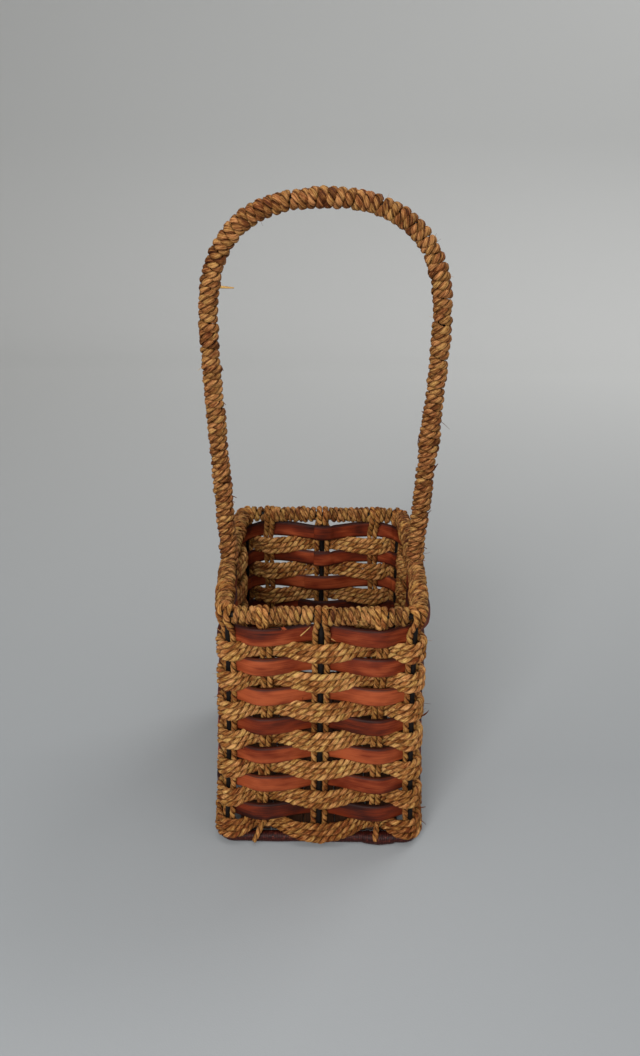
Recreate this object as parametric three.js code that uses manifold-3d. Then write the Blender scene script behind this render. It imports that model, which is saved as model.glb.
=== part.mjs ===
// A wine basket: a black wire frame woven with split-wood strips and twisted seagrass rope, under a tall
// hoop handle. Millimetres, +Z up, +X to the right and +Y away from the front; the origin is at the middle
// of the foot, where the base ring rests.
import * as THREE from 'three';
import { mergeVertices } from 'three/addons/utils/BufferGeometryUtils.js';
import Module from 'manifold-3d';

const wasm = await Module();
wasm.setup();

// Driving dimensions of the frame
const RIM_WIDTH = 110; // rim wire, centre to centre along X
const RIM_DEPTH = 138.5; // rim wire, centre to centre along Y
const RIM_HEIGHT = 160; // centre of the rim wire above the foot
const CORNER_RADIUS = 7;
const SIDE_BOW = 3; // how far the middle of the left and right sides bows out
const FOOT_SPREAD = 4.5; // how much further out each wall stands at the foot than at the rim
const WIRE_RADIUS = 1.75;
const WIRE_SIDES = 6;
const GAP = 0.3; // between pieces that touch

// Handle
const HANDLE_TOP = 375.5; // centre of the hoop at its highest point
const HANDLE_SHOULDER = 310; // height of its widest place, where the arch begins
const ARCH_FULLNESS = 0.67; // 0.55 makes the arch an ellipse, and more makes it squarer
const HANDLE_HALF_WIDTH = 65.5; // at the shoulder
const HANDLE_WIRE_RADIUS = 1.6;
const KNEE_OUT = 1.5; // how far out each leg heads from its foot, and over what rise
const KNEE_RISE = 33;
const SHOULDER_DROP = 27; // length of leg below the shoulder that already stands upright

// Cord windings on the rim, the handle and the base ring
const CORD = 3.8; // how thick the cord lies on the wire
const TURN_GAP = 0.6; // between neighbouring turns
const HANDLE_TURN_GAP = 0.75;
const TURN_STEPS = 6;
const TAIL = 3.2; // how far each end of a cord lies straight along the wire
const RIM_TURNS_ACROSS = 11; // from a corner post to the front or back middle post
const RIM_TURNS_ALONG = 14; // from a corner post to a side middle post
const HANDLE_LENGTHS = 4; // lengths of cord on the handle
const HANDLE_TURNS = 22; // in each length
const BASE_RING_RADIUS = 3.5; // over its winding of fine cord

// Weave
const FIRST_STRIP_DROP = 12.6; // from the rim wire down to the middle of the first strip
const LAST_STRIP_HEIGHT = 23.8; // of the middle of the last strip above the foot
const ROW_PITCH_LEAST = 17.5; // from the first strip to the second; as many rows are woven as this allows
const ROW_PITCH_GROWTH = 0.3; // how much each pitch exceeds the one above
const STRIP_HEIGHT = 8.4;
const STRIP_THICKNESS = 1.8;
const STRIP_BULGE = 1.2; // further out than its thickness asks, where it passes a folded stake
const ROPE_RADIUS = 1.7; // in and out of the wall
const ROPE_HALF_HEIGHT = 1.55;
const ROPE_PITCH = 3.9; // from one round to the next, where the strips leave room
const ROUNDS = 3; // of rope in each row
const STAKE_RADIUS = 1.7;
const SAG_HEIGHT = 3.2; // of the lowest round where it hangs over the base ring
const FOOT_END = 1.2; // height of the ends of the stakes that pass over the base ring

// Floor
const SLATS = 5;
const SLAT_WIDTH = 16;
const SLAT_PITCH = 20;
const FLOOR_WIRES = 3;

// Stations round the body, four to a side: a corner post, a folded stake, a middle post and a folded stake.
// The stakes stand nearer the corners, at this share of each side: front, right, back and left
const SIDES = 4;
const STATIONS = 16;
const STAKE_SHARES = [0.19, 0.19, 0.16, 0.19];
const BLACK_IRON = { color: 0x1c1a1a, roughness: 0.5, metalness: 0.6 };
const SEAGRASS = { color: 0xb08654, roughness: 0.85, metalness: 0 };
const HANDLE_SEAGRASS = { color: 0x9a6c3c, roughness: 0.8, metalness: 0 };
const STAINED_WOOD = { color: 0x8a4426, roughness: 0.45, metalness: 0 };
const MAROON_CORD = { color: 0x4b1e19, roughness: 0.6, metalness: 0 };

// Sizes that follow from them
const EIGHTH = Math.PI / 8; // half a step of a path that goes round a ring in eight steps
const WIRE_CLEARANCE = WIRE_RADIUS + GAP;
const BASE_HEIGHT = BASE_RING_RADIUS * Math.cos(EIGHTH); // its eight-sided section stands on a flat
const TURN_INNER = 0.34 * CORD; // from a turn's path in to its flat, and out to its ridge
const TURN_OUTER = 0.5 * CORD;
const TURN_RADIUS = (WIRE_CLEARANCE + TURN_INNER) / Math.cos(Math.PI / TURN_STEPS);
const WOUND_RADIUS = TURN_RADIUS + TURN_OUTER; // of the rim and handle over their cord
const STAKE_PAIR = STAKE_RADIUS + GAP / 2; // from the middle of a folded stake to each leg
const STAKE_STRADDLE = WIRE_CLEARANCE + STAKE_RADIUS; // from a post to each leg
const STAKE_FLAT = STAKE_RADIUS * Math.SQRT1_2; // from the middle of a leg to its faces
const PAIR_REACH = STAKE_PAIR + STAKE_FLAT;
const HALF_CORNER = (CORNER_RADIUS * Math.PI) / 4; // from a corner's middle to its end
const ROPE_CLEAR = STAKE_RADIUS + GAP + ROPE_RADIUS; // from the wall's middle line to a rope beside a stake
const ROPE_OUT = ROPE_CLEAR + 0.6;
const STRIP_IN = STAKE_RADIUS + GAP + STRIP_THICKNESS / 2 + 0.3;

// The pitch from the first strip to the second when a number of rows fills the wall.
function firstPitch(rows) {
  const wall = RIM_HEIGHT - FIRST_STRIP_DROP - LAST_STRIP_HEIGHT;
  return (wall - (ROW_PITCH_GROWTH * (rows - 1) * (rows - 2)) / 2) / (rows - 1);
}

let rowsThatFit = 2;
while (firstPitch(rowsThatFit + 1) >= ROW_PITCH_LEAST) rowsThatFit += 1;
const ROWS = rowsThatFit;

const up = new THREE.Vector3(0, 0, 1);

// The walls

function spread(z) {
  return FOOT_SPREAD * (1 - z / RIM_HEIGHT) ** 2;
}

function flatLength(side, z) {
  return (side % 2 === 0 ? RIM_WIDTH : RIM_DEPTH) + 2 * spread(z) - 2 * CORNER_RADIUS;
}

function sideLength(side, z) {
  return flatLength(side, z) + 2 * HALF_CORNER;
}

// How far a left or right side bows out at a distance from its middle.
function sideBow(along, z) {
  return SIDE_BOW * (1 - ((2 * along) / flatLength(1, z)) ** 2);
}

// A place on the wall's middle line at height z: side 0 is the front, 1 the right, 2 the back and 3 the
// left, and run is measured along the side from the middle of the corner where it begins.
function onWall(side, run, z) {
  if (run < 0) return onWall((side + 3) % SIDES, run + sideLength((side + 3) % SIDES, z), z);
  if (run > sideLength(side, z)) return onWall((side + 1) % SIDES, run - sideLength(side, z), z);
  const flat = flatLength(side, z);
  const along = THREE.MathUtils.clamp(run - HALF_CORNER, 0, flat) - flat / 2;
  const turned = ((run - HALF_CORNER - along - flat / 2) / HALF_CORNER) * (Math.PI / 4);
  const bow = side % 2 === 1 ? sideBow(along, z) : 0;
  const half = (side % 2 === 0 ? RIM_DEPTH : RIM_WIDTH) / 2 + spread(z);
  const x = along + CORNER_RADIUS * Math.sin(turned);
  const y = half - CORNER_RADIUS + CORNER_RADIUS * Math.cos(turned) + bow;
  const direction = (side * Math.PI) / 2;
  const travel = new THREE.Vector3(Math.cos(direction), Math.sin(direction), 0);
  const outward = new THREE.Vector3(Math.sin(direction), -Math.cos(direction), 0);
  const point = new THREE.Vector3(0, 0, z).addScaledVector(travel, x).addScaledVector(outward, y);
  const normal = new THREE.Vector3()
    .addScaledVector(travel, Math.sin(turned))
    .addScaledVector(outward, Math.cos(turned));
  return { point, normal };
}

// How far along its side a station lies, as a share of the side, from its place of 0 to 4 there.
function shareOfSide(side, place) {
  const shares = [0, STAKE_SHARES[side], 0.5, 1 - STAKE_SHARES[side], 1];
  const before = Math.min(Math.floor(place), SIDES - 1);
  return THREE.MathUtils.lerp(shares[before], shares[before + 1], place - before);
}

// Station 0 is the front left corner, 1 the front's first folded stake, 4 the front right corner, and so on.
function atStation(station, offset, z, lateral = 0) {
  const around = THREE.MathUtils.euclideanModulo(station, STATIONS);
  const side = Math.floor(around / SIDES);
  const run = sideLength(side, z) * shareOfSide(side, around - side * SIDES) + lateral;
  const { point, normal } = onWall(side, run, z);
  return point.addScaledVector(normal, offset);
}

// Solids

// A closed body through rings of points, open at its ends and capped there, or closed on itself.
function bodyThrough(rings, closed) {
  const count = rings[0].length;
  const positions = rings.flat().flatMap((point) => point.toArray());
  const triangles = [];
  const last = closed ? rings.length : rings.length - 1;
  for (let ring = 0; ring < last; ring += 1) {
    const next = (ring + 1) % rings.length;
    for (let i = 0; i < count; i += 1) {
      const j = (i + 1) % count;
      const [a, b] = [ring * count + i, ring * count + j];
      const [c, d] = [next * count + j, next * count + i];
      triangles.push([a, b, c], [a, c, d]);
    }
  }
  if (!closed) {
    const end = (rings.length - 1) * count;
    for (let i = 1; i < count - 1; i += 1) {
      triangles.push([0, i + 1, i], [end, end + i, end + i + 1]);
    }
  }
  const geometry = new THREE.BufferGeometry();
  geometry.setAttribute('position', new THREE.Float32BufferAttribute(positions, 3));
  const corner = (index) => new THREE.Vector3().fromArray(positions, index * 3);
  const volume = triangles.reduce(
    (sum, [a, b, c]) => sum + corner(a).dot(corner(b).cross(corner(c))),
    0,
  );
  geometry.setIndex(triangles.flatMap((abc) => (volume < 0 ? abc.reverse() : abc)));
  geometry.computeVertexNormals();
  return geometry;
}

function polygon(radius, sides, turned = 0) {
  return Array.from({ length: sides }, (_, i) => {
    const angle = turned + (i * 2 * Math.PI) / sides;
    return [radius * Math.cos(angle), radius * Math.sin(angle)];
  });
}

// A tube along a path of points, its section carried along without twisting.
function tube(points, radius, sides, firstNormal) {
  const normal = firstNormal.clone();
  const rings = points.map((point, i) => {
    const tangent = points[Math.min(i + 1, points.length - 1)]
      .clone()
      .sub(points[Math.max(i - 1, 0)])
      .normalize();
    normal.addScaledVector(tangent, -normal.dot(tangent)).normalize();
    const binormal = tangent.clone().cross(normal);
    return polygon(radius, sides, Math.PI / sides).map(([a, b]) =>
      point.clone().addScaledVector(normal, a).addScaledVector(binormal, b),
    );
  });
  return bodyThrough(rings, false);
}

// A piece that runs round the body: samples give station, offset and height of its middle, and its section
// lies in offset and height.
function roundTheBody(samples, section) {
  const rings = samples.map(([station, offset, height]) =>
    section.map(([a, b]) => atStation(station, offset + a, height).setZ(height + b)),
  );
  return bodyThrough(rings, false);
}

function toManifold(geometry) {
  const bare = new THREE.BufferGeometry();
  bare.setAttribute('position', geometry.getAttribute('position'));
  bare.setIndex(geometry.getIndex());
  const merged = mergeVertices(bare, 1e-4);
  return new wasm.Manifold(
    new wasm.Mesh({
      numProp: 3,
      vertProperties: merged.attributes.position.array,
      triVerts: new Uint32Array(merged.index.array),
    }),
  );
}

function fromManifold(solid) {
  const mesh = solid.getMesh();
  const geometry = new THREE.BufferGeometry();
  geometry.setAttribute('position', new THREE.BufferAttribute(mesh.vertProperties, 3));
  geometry.setIndex(new THREE.BufferAttribute(mesh.triVerts, 1));
  geometry.computeVertexNormals();
  return geometry;
}

const basket = new THREE.Group();

function addPiece(name, geometry, finish) {
  const mesh = new THREE.Mesh(geometry, new THREE.MeshStandardMaterial({ ...finish, flatShading: true }));
  mesh.name = name;
  basket.add(mesh);
  return mesh;
}

// Frame: rim wire, base ring wire, eight posts and the cross wires under the floor, welded into one piece

const CORNER_STEPS = 2; // of a wire, from a corner's middle to its end
const BOWED_STEPS = 4; // of a wire, along a bowed side
const POST_LEVELS = [BASE_HEIGHT, 75, RIM_HEIGHT];

// Sides and runs of the places that a wire ring bends at.
function wirePlaces(z) {
  const places = [];
  for (let side = 0; side < SIDES; side += 1) {
    const flat = flatLength(side, z);
    const steps = side % 2 === 1 ? BOWED_STEPS : 1;
    const runs = [];
    const corner = Array.from({ length: CORNER_STEPS }, (_, i) => (HALF_CORNER * i) / CORNER_STEPS);
    runs.push(...corner);
    for (let i = 0; i < steps; i += 1) runs.push(HALF_CORNER + (flat * i) / steps);
    runs.push(...corner.map((run) => HALF_CORNER + flat + run));
    places.push(...runs.map((run) => [side, run]));
  }
  return places;
}

function wireLoop(height, section) {
  const rings = wirePlaces(height).map(([side, run]) => {
    const { point, normal } = onWall(side, run, height);
    return section.map(([a, b]) => point.clone().addScaledVector(normal, a).addScaledVector(up, b));
  });
  return bodyThrough(rings, true);
}

function post(station, radius, sides) {
  const points = POST_LEVELS.map((z) => atStation(station, 0, z));
  return tube(points, radius, sides, new THREE.Vector3(1, 0, 0));
}

function floorWire(index, radius, sides) {
  const y = ((index + 1) / (FLOOR_WIRES + 1) - 0.5) * RIM_DEPTH;
  const half = RIM_WIDTH / 2 + spread(BASE_HEIGHT) + sideBow(y, BASE_HEIGHT);
  const ends = [-half, half].map((x) => new THREE.Vector3(x, y, BASE_HEIGHT));
  return tube(ends, radius, sides, up);
}

const postStations = Array.from({ length: STATIONS / 2 }, (_, i) => 2 * i);
const wireSection = polygon(WIRE_RADIUS, WIRE_SIDES, Math.PI / WIRE_SIDES);

// The wires that run into the two rings, as solids that stand off from their faces by clear.
function joiningWires(clear, sides) {
  const radius = (WIRE_RADIUS + clear) / (clear ? Math.cos(Math.PI / sides) : 1);
  const wires = postStations.map((station) => post(station, radius, sides));
  for (let i = 0; i < FLOOR_WIRES; i += 1) wires.push(floorWire(i, radius, sides));
  return wires.map(toManifold);
}

function frame() {
  let solid = toManifold(wireLoop(RIM_HEIGHT, wireSection));
  solid = solid.add(toManifold(wireLoop(BASE_HEIGHT, wireSection)));
  for (const wire of joiningWires(0, WIRE_SIDES)) solid = solid.add(wire);
  return fromManifold(solid);
}

addPiece('frame', frame(), BLACK_IRON);

// Base winding: fine cord wound round the base ring, open where the posts and floor wires come in

function baseWinding() {
  const outer = wireLoop(BASE_HEIGHT, polygon(BASE_RING_RADIUS, 8, Math.PI / 8));
  const bore = wireLoop(BASE_HEIGHT, polygon(WIRE_CLEARANCE * Math.SQRT2, 4, Math.PI / 4));
  let solid = toManifold(outer).subtract(toManifold(bore));
  for (const wire of joiningWires(GAP, 4)) solid = solid.subtract(wire);
  return fromManifold(solid);
}

addPiece('base_winding', baseWinding(), MAROON_CORD);

// Strips: one round each, outside the folded stakes and inside the posts, their ends meeting behind the back
// middle post

const STRIP_SHARES = [0.3, 0.68, 1.32, 1.7]; // sampled places between an inside station and the next
const BACK_MIDDLE = 10;
const STRIP_END_GAP = 0.04; // of a station, between a strip's ends

function stripHeight(row) {
  const drop = FIRST_STRIP_DROP + firstPitch(ROWS) * row + (ROW_PITCH_GROWTH * row * (row - 1)) / 2;
  return RIM_HEIGHT - drop;
}

function strip(row) {
  const out = STRIP_IN + STRIP_BULGE;
  const samples = [[BACK_MIDDLE + STRIP_END_GAP, -STRIP_IN, stripHeight(row)]];
  for (let station = 0; station < STATIONS; station += 2) {
    const atCorner = (BACK_MIDDLE + station) % SIDES === 0;
    for (const share of atCorner ? [0, ...STRIP_SHARES] : STRIP_SHARES) {
      const offset = share > 0.5 && share < 1.5 ? out : -STRIP_IN;
      samples.push([BACK_MIDDLE + station + share, offset, stripHeight(row)]);
    }
  }
  samples.push([BACK_MIDDLE + STATIONS - STRIP_END_GAP, -STRIP_IN, stripHeight(row)]);
  const [thick, tall] = [STRIP_THICKNESS / 2, STRIP_HEIGHT / 2];
  const section = [[thick, tall], [-thick, tall], [-thick, -tall], [thick, -tall]];
  return roundTheBody(samples, section);
}

for (let row = 0; row < ROWS; row += 1) addPiece(`strip_${row + 1}`, strip(row), STAINED_WOOD);

// Rope rows: one rope each, three rounds, outside the posts and inside the folded stakes. It starts at the
// back left corner and climbs to its next round just before it comes back there

const BACK_LEFT = 12;
const SHOULDER = 5.3; // how far a rope stays outside, each side of a post
const CORNER_BULGE = 0.5; // how much further out it rounds a corner
const CLIMB_END = 0.35; // of a station, how far before the corner a rope has climbed
const ROPE_SECTION = [
  [ROPE_RADIUS, 0],
  [0, ROPE_HALF_HEIGHT],
  [-ROPE_RADIUS, 0],
  [0, -ROPE_HALF_HEIGHT],
];

// How far in a rope passes a folded stake, to clear both its legs on its way there and back.
function ropeIn() {
  const shortest = sideLength(0, RIM_HEIGHT) * Math.min(...STAKE_SHARES);
  const share = PAIR_REACH / (shortest - SHOULDER);
  const clear = STAKE_FLAT + GAP + ROPE_RADIUS;
  return (clear + share * ROPE_OUT) / (1 - share);
}

// The shoulder as a share of the way from a post to the folded stake before it or after it.
function shoulderShare(station, before) {
  const around = THREE.MathUtils.euclideanModulo(station - (before ? 0.5 : 0), STATIONS);
  const side = Math.floor(around / SIDES);
  const share = station % SIDES === 0 ? STAKE_SHARES[side] : 0.5 - STAKE_SHARES[side];
  return SHOULDER / (share * sideLength(side, RIM_HEIGHT));
}

// Places of a rope's samples from 0, the corner where it starts, to the end of its last round.
function ropePlaces(crossing) {
  const places = [];
  for (let station = 0; station < ROUNDS * STATIONS; station += 2) {
    places.push(station - shoulderShare(BACK_LEFT + station, true));
    if (station % SIDES === 0) places.push(station);
    places.push(station + shoulderShare(BACK_LEFT + station, false));
    places.push(...crossing.map((share) => station + share), station + 1);
    places.push(...crossing.map((share) => station + 2 - share).reverse());
  }
  while (places.at(-1) > ROUNDS * STATIONS - 1) places.pop();
  return places;
}

function roundAt(place) {
  return Math.floor((place + CLIMB_END) / STATIONS);
}

function cornerBulge(place) {
  return place % SIDES === 0 ? CORNER_BULGE : 0;
}

// How far a place is from the nearest middle or corner, in stations.
function fromPost(place) {
  return Math.abs(place - 2 * Math.round(place / 2));
}

function ropeRow(row) {
  const room = stripHeight(row) - stripHeight(row + 1) - STRIP_HEIGHT - 2 * (ROPE_HALF_HEIGHT + GAP);
  const pitch = Math.min(ROPE_PITCH, room / (ROUNDS - 1));
  const middle = (stripHeight(row) + stripHeight(row + 1)) / 2;
  const samples = ropePlaces([]).map((place) => {
    const offset = fromPost(place) > 0.5 ? -ropeIn() : ROPE_OUT + cornerBulge(place);
    return [BACK_LEFT + place, offset, middle + pitch * (roundAt(place) - (ROUNDS - 1) / 2)];
  });
  return roundTheBody(samples, ROPE_SECTION);
}

// The lowest row comes in just over the base ring and hangs over its outside at the middles and corners.
function lowestRopeRow() {
  const [outside, above] = [0.38, 0.55];
  const reach = (BASE_RING_RADIUS + GAP + ROPE_RADIUS) / Math.cos(EIGHTH);
  const passes = [
    [outside, 2 * EIGHTH],
    [above, 4 * EIGHTH],
  ];
  const inside = stripHeight(ROWS - 1) - STRIP_HEIGHT / 2 - GAP - ROPE_HALF_HEIGHT;
  const pitch = (inside - BASE_HEIGHT - reach - GAP) / (ROUNDS - 1);
  const samples = ropePlaces([outside, above]).map((place) => {
    const from = fromPost(place);
    const pass = passes.find(([share]) => Math.abs(share - from) < 1e-6);
    let [offset, height] = [reach + cornerBulge(place), SAG_HEIGHT];
    if (pass) [offset, height] = [reach * Math.cos(pass[1]), BASE_HEIGHT + reach * Math.sin(pass[1])];
    else if (from > above) [offset, height] = [-ropeIn(), inside - (ROUNDS - 1) * pitch];
    return [BACK_LEFT + place, offset, height + pitch * roundAt(place)];
  });
  return roundTheBody(samples, ROPE_SECTION);
}

for (let row = 0; row < ROWS; row += 1) {
  const geometry = row < ROWS - 1 ? ropeRow(row) : lowestRopeRow();
  addPiece(`rope_row_${row + 1}`, geometry, SEAGRASS);
}

// Stakes: each is a rope folded in half, whose legs stand in the wall. At most stations they go up one side
// of the rim and the fold hangs on the other. At the side middles, where the handle stands, it stays below

const STAKE_SIDES = 4;
const STAKE_LEVELS = [75];
const STAKE_NAMES = [
  'front_left_corner', 'front_left', 'front_middle', 'front_right',
  'front_right_corner', 'right_front', 'right_middle', 'right_back',
  'back_right_corner', 'back_right', 'back_middle', 'back_left',
  'back_left_corner', 'left_back', 'left_middle', 'left_front',
];
const RIM_PASS = (WOUND_RADIUS + GAP + STAKE_RADIUS) / Math.cos(EIGHTH); // from the rim wire to a leg

// Offset and height of one leg's points, from its foot up to the last level below the rim.
function legPoints(station) {
  const levels = STAKE_LEVELS.map((z) => [0, z]);
  if (station % 2 === 0) return [[0, BASE_HEIGHT + BASE_RING_RADIUS + GAP], ...levels];
  const reach = (BASE_RING_RADIUS + GAP + STAKE_RADIUS) / Math.cos(EIGHTH);
  const aslant = reach * Math.cos(2 * EIGHTH);
  return [
    [reach, FOOT_END],
    [reach, BASE_HEIGHT],
    [aslant, BASE_HEIGHT + aslant],
    [0, BASE_HEIGHT + 2 * reach],
    ...levels,
  ];
}

// Lateral share, offset and height of the points of one leg over the rim, and of its fold.
function foldOverRim(side) {
  const round = (eighths) => [
    side * RIM_PASS * Math.sin(eighths * 2 * EIGHTH),
    RIM_HEIGHT - RIM_PASS * Math.cos(eighths * 2 * EIGHTH),
  ];
  const leg = [[0, RIM_HEIGHT - 1.6 * RIM_PASS], ...[1, 2, 3, 4, 5].map(round)];
  const fold = [0, -side * RIM_PASS, RIM_HEIGHT - 2 * STAKE_RADIUS];
  return [...leg.map(([offset, z]) => [1, offset, z]), fold];
}

function foldUnderRim() {
  const top = RIM_HEIGHT - WOUND_RADIUS - GAP - STAKE_RADIUS;
  const forward = STAKE_STRADDLE / Math.cos(EIGHTH);
  return [
    [1, 0, top - 2 * STAKE_RADIUS],
    [Math.SQRT1_2, forward * Math.SQRT1_2, top - STAKE_RADIUS / 2],
    [0, forward, top - STAKE_RADIUS / 2],
  ];
}

function stake(station) {
  const atPost = station % 2 === 0;
  const spacing = atPost ? STAKE_STRADDLE : STAKE_PAIR;
  const underRim = station === 6 || station === 14;
  const fold = underRim ? foldUnderRim() : foldOverRim(atPost ? 1 : -1);
  const half = [...legPoints(station).map(([offset, z]) => [1, offset, z]), ...fold];
  const other = half.slice(0, -1).reverse().map(([share, offset, z]) => [-share, offset, z]);
  const points = [...half, ...other].map(([share, offset, z]) =>
    atStation(station, offset, z, share * spacing),
  );
  const along = atStation(station, 0, 0, 1).sub(atStation(station, 0, 0, -1));
  return tube(points, STAKE_RADIUS, STAKE_SIDES, along);
}

STAKE_NAMES.forEach((name, station) => addPiece(`stake_${name}`, stake(station), SEAGRASS));

// Handle: a hoop in the XZ plane whose feet stand on the middles of the rim's sides

const HOOP_LEG_STEPS = 8;
const HOOP_ARCH_STEPS = 22;

function hoopCurve() {
  const lean = KNEE_OUT / KNEE_RISE;
  const footHeight = RIM_HEIGHT + WIRE_CLEARANCE + HANDLE_WIRE_RADIUS * lean;
  const foot = new THREE.Vector2(RIM_WIDTH / 2 + SIDE_BOW, footHeight);
  const knee = foot.clone().add(new THREE.Vector2(KNEE_OUT, KNEE_RISE));
  const shoulder = new THREE.Vector2(HANDLE_HALF_WIDTH, HANDLE_SHOULDER);
  const below = shoulder.clone().sub(new THREE.Vector2(0, SHOULDER_DROP));
  const above = shoulder.clone().add(new THREE.Vector2(0, ARCH_FULLNESS * (HANDLE_TOP - HANDLE_SHOULDER)));
  const beside = new THREE.Vector2(ARCH_FULLNESS * HANDLE_HALF_WIDTH, HANDLE_TOP);
  const top = new THREE.Vector2(0, HANDLE_TOP);
  const mirrored = (points) => points.map(({ x, y }) => new THREE.Vector2(-x, y));
  const curve = new THREE.CurvePath();
  curve.add(new THREE.CubicBezierCurve(...mirrored([foot, knee, below, shoulder])));
  curve.add(new THREE.CubicBezierCurve(...mirrored([shoulder, above, beside, top])));
  curve.add(new THREE.CubicBezierCurve(top, beside, above, shoulder));
  curve.add(new THREE.CubicBezierCurve(shoulder, below, knee, foot));
  return curve;
}

const hoop = hoopCurve();
const hoopLength = hoop.getLength();

function hoopPoint(run) {
  const flat = hoop.getPoint(Math.min(run / hoopLength, 1));
  return new THREE.Vector3(flat.x, 0, flat.y);
}

const back = new THREE.Vector3(0, 1, 0);

function onHoop(run) {
  const [before, after] = [Math.max(run - 0.5, 0), Math.min(run + 0.5, hoopLength)].map(hoopPoint);
  const tangent = after.sub(before).normalize();
  return { point: hoopPoint(run), out: tangent.cross(back), across: back };
}

function hoopWire() {
  const [leg, , arch] = hoop.getCurveLengths();
  const runs = [];
  for (let i = 0; i < HOOP_LEG_STEPS; i += 1) runs.push((leg * i) / HOOP_LEG_STEPS);
  for (let i = 0; i < HOOP_ARCH_STEPS; i += 1) runs.push(leg + ((arch - leg) * i) / HOOP_ARCH_STEPS);
  for (let i = 0; i <= HOOP_LEG_STEPS; i += 1) runs.push(arch + (leg * i) / HOOP_LEG_STEPS);
  return tube(runs.map(hoopPoint), HANDLE_WIRE_RADIUS, WIRE_SIDES, back);
}

addPiece('handle_wire', hoopWire(), BLACK_IRON);

// Windings: one unbroken length of cord each, wound round its core from one run to another. Its two ends
// lie straight along the core

function windingRings(core, { from, to, turns, startAngle, width }) {
  const steps = Math.round(turns * TURN_STEPS);
  const places = Array.from({ length: steps + 1 }, (_, i) => ({
    run: from + ((to - from) * i) / steps,
    angle: startAngle + (2 * Math.PI * turns * i) / steps,
  }));
  places.unshift({ ...places[0], run: from - TAIL });
  places.push({ ...places.at(-1), run: to + TAIL });
  const radials = [];
  const path = places.map(({ run, angle }) => {
    const { point, out, across } = core(run);
    const radial = out.clone().multiplyScalar(Math.cos(angle)).addScaledVector(across, Math.sin(angle));
    radials.push(radial);
    return point.clone().addScaledVector(radial, TURN_RADIUS);
  });
  const section = [
    [TURN_OUTER, 0],
    [-TURN_INNER, width / 2],
    [-TURN_INNER, -width / 2],
  ];
  return path.map((point, i) => {
    const tangent = path[Math.min(i + 1, path.length - 1)].clone().sub(path[Math.max(i - 1, 0)]);
    const side = tangent.cross(radials[i]).normalize();
    return section.map(([a, b]) => point.clone().addScaledVector(radials[i], a).addScaledVector(side, b));
  });
}

// The least distance between the surfaces of turns that aren't the same stretch of the tube, on points.
function leastGap(rings) {
  const samples = [];
  for (let ring = 0; ring < rings.length - 1; ring += 1) {
    for (const onward of [0, 0.5]) {
      rings[ring].forEach((_, i) => {
        const [here, there] = [ring, ring + 1].map((r) => {
          const next = rings[r][(i + 1) % rings[r].length];
          return [rings[r][i], rings[r][i].clone().lerp(next, 0.5)];
        });
        here.forEach((point, k) => samples.push([ring + onward, point.clone().lerp(there[k], onward)]));
      });
    }
  }
  let least = Infinity;
  for (let i = 0; i < samples.length; i += 1) {
    for (let j = i + 1; j < samples.length; j += 1) {
      if (samples[j][0] - samples[i][0] < TURN_STEPS - 1) continue;
      least = Math.min(least, samples[i][1].distanceTo(samples[j][1]));
    }
  }
  return least;
}

function addWinding(name, core, wound, finish) {
  const rings = windingRings(core, wound);
  const gap = leastGap(rings).toFixed(2);
  console.log(`${name}: ${wound.turns.toFixed(2)} turns, least gap to itself ${gap} mm`);
  addPiece(name, bodyThrough(rings, false), finish);
}

// Rim winding: eight runs, each between a corner post and a middle post. Their turns are spaced evenly
// along the inner side of the rim, and fan out over the corners. A run starts on the outside of the rim and
// ends on the inside, half a turn short, so that neighbouring ends lie on opposite sides of a post

const RIM_PART_TURN = 1 / 2;
const RIM_INSET = TURN_RADIUS - TURN_INNER;
const INSET_HALF_CORNER = HALF_CORNER * (1 - RIM_INSET / CORNER_RADIUS);

function onRim(side) {
  const flat = flatLength(side, RIM_HEIGHT);
  return (insetRun) => {
    const inCorner = THREE.MathUtils.clamp(insetRun, INSET_HALF_CORNER, INSET_HALF_CORNER + flat);
    const beyond = ((insetRun - inCorner) * HALF_CORNER) / INSET_HALF_CORNER;
    const run = HALF_CORNER + inCorner - INSET_HALF_CORNER + beyond;
    const { point, normal } = onWall(side, run, RIM_HEIGHT);
    return { point, out: normal, across: up };
  };
}

const SIDE_NAMES = ['front', 'right', 'back', 'left'];

SIDE_NAMES.forEach((name, side) => {
  const half = INSET_HALF_CORNER + flatLength(side, RIM_HEIGHT) / 2;
  const turns = (side % 2 === 0 ? RIM_TURNS_ACROSS : RIM_TURNS_ALONG) - RIM_PART_TURN;
  const pitch = (half - 2 * WIRE_CLEARANCE + TURN_GAP) / (turns + RIM_PART_TURN);
  const width = pitch - TURN_GAP;
  const clear = WIRE_CLEARANCE + width / 2 - (RIM_PART_TURN * pitch) / 2;
  [0, 1].forEach((run) => {
    const [from, to] = [run * half + clear, (run + 1) * half - clear];
    const wound = { from, to, turns, startAngle: 0, width };
    addWinding(`rim_winding_${name}_${run + 1}`, onRim(side), wound, SEAGRASS);
  });
});

// Handle winding: lengths of cord end to end, each with its end tucked beside the start of the next

const HANDLE_START = (5 * Math.PI) / 4;
const HANDLE_PART_TURN = 1 / 4;

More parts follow.
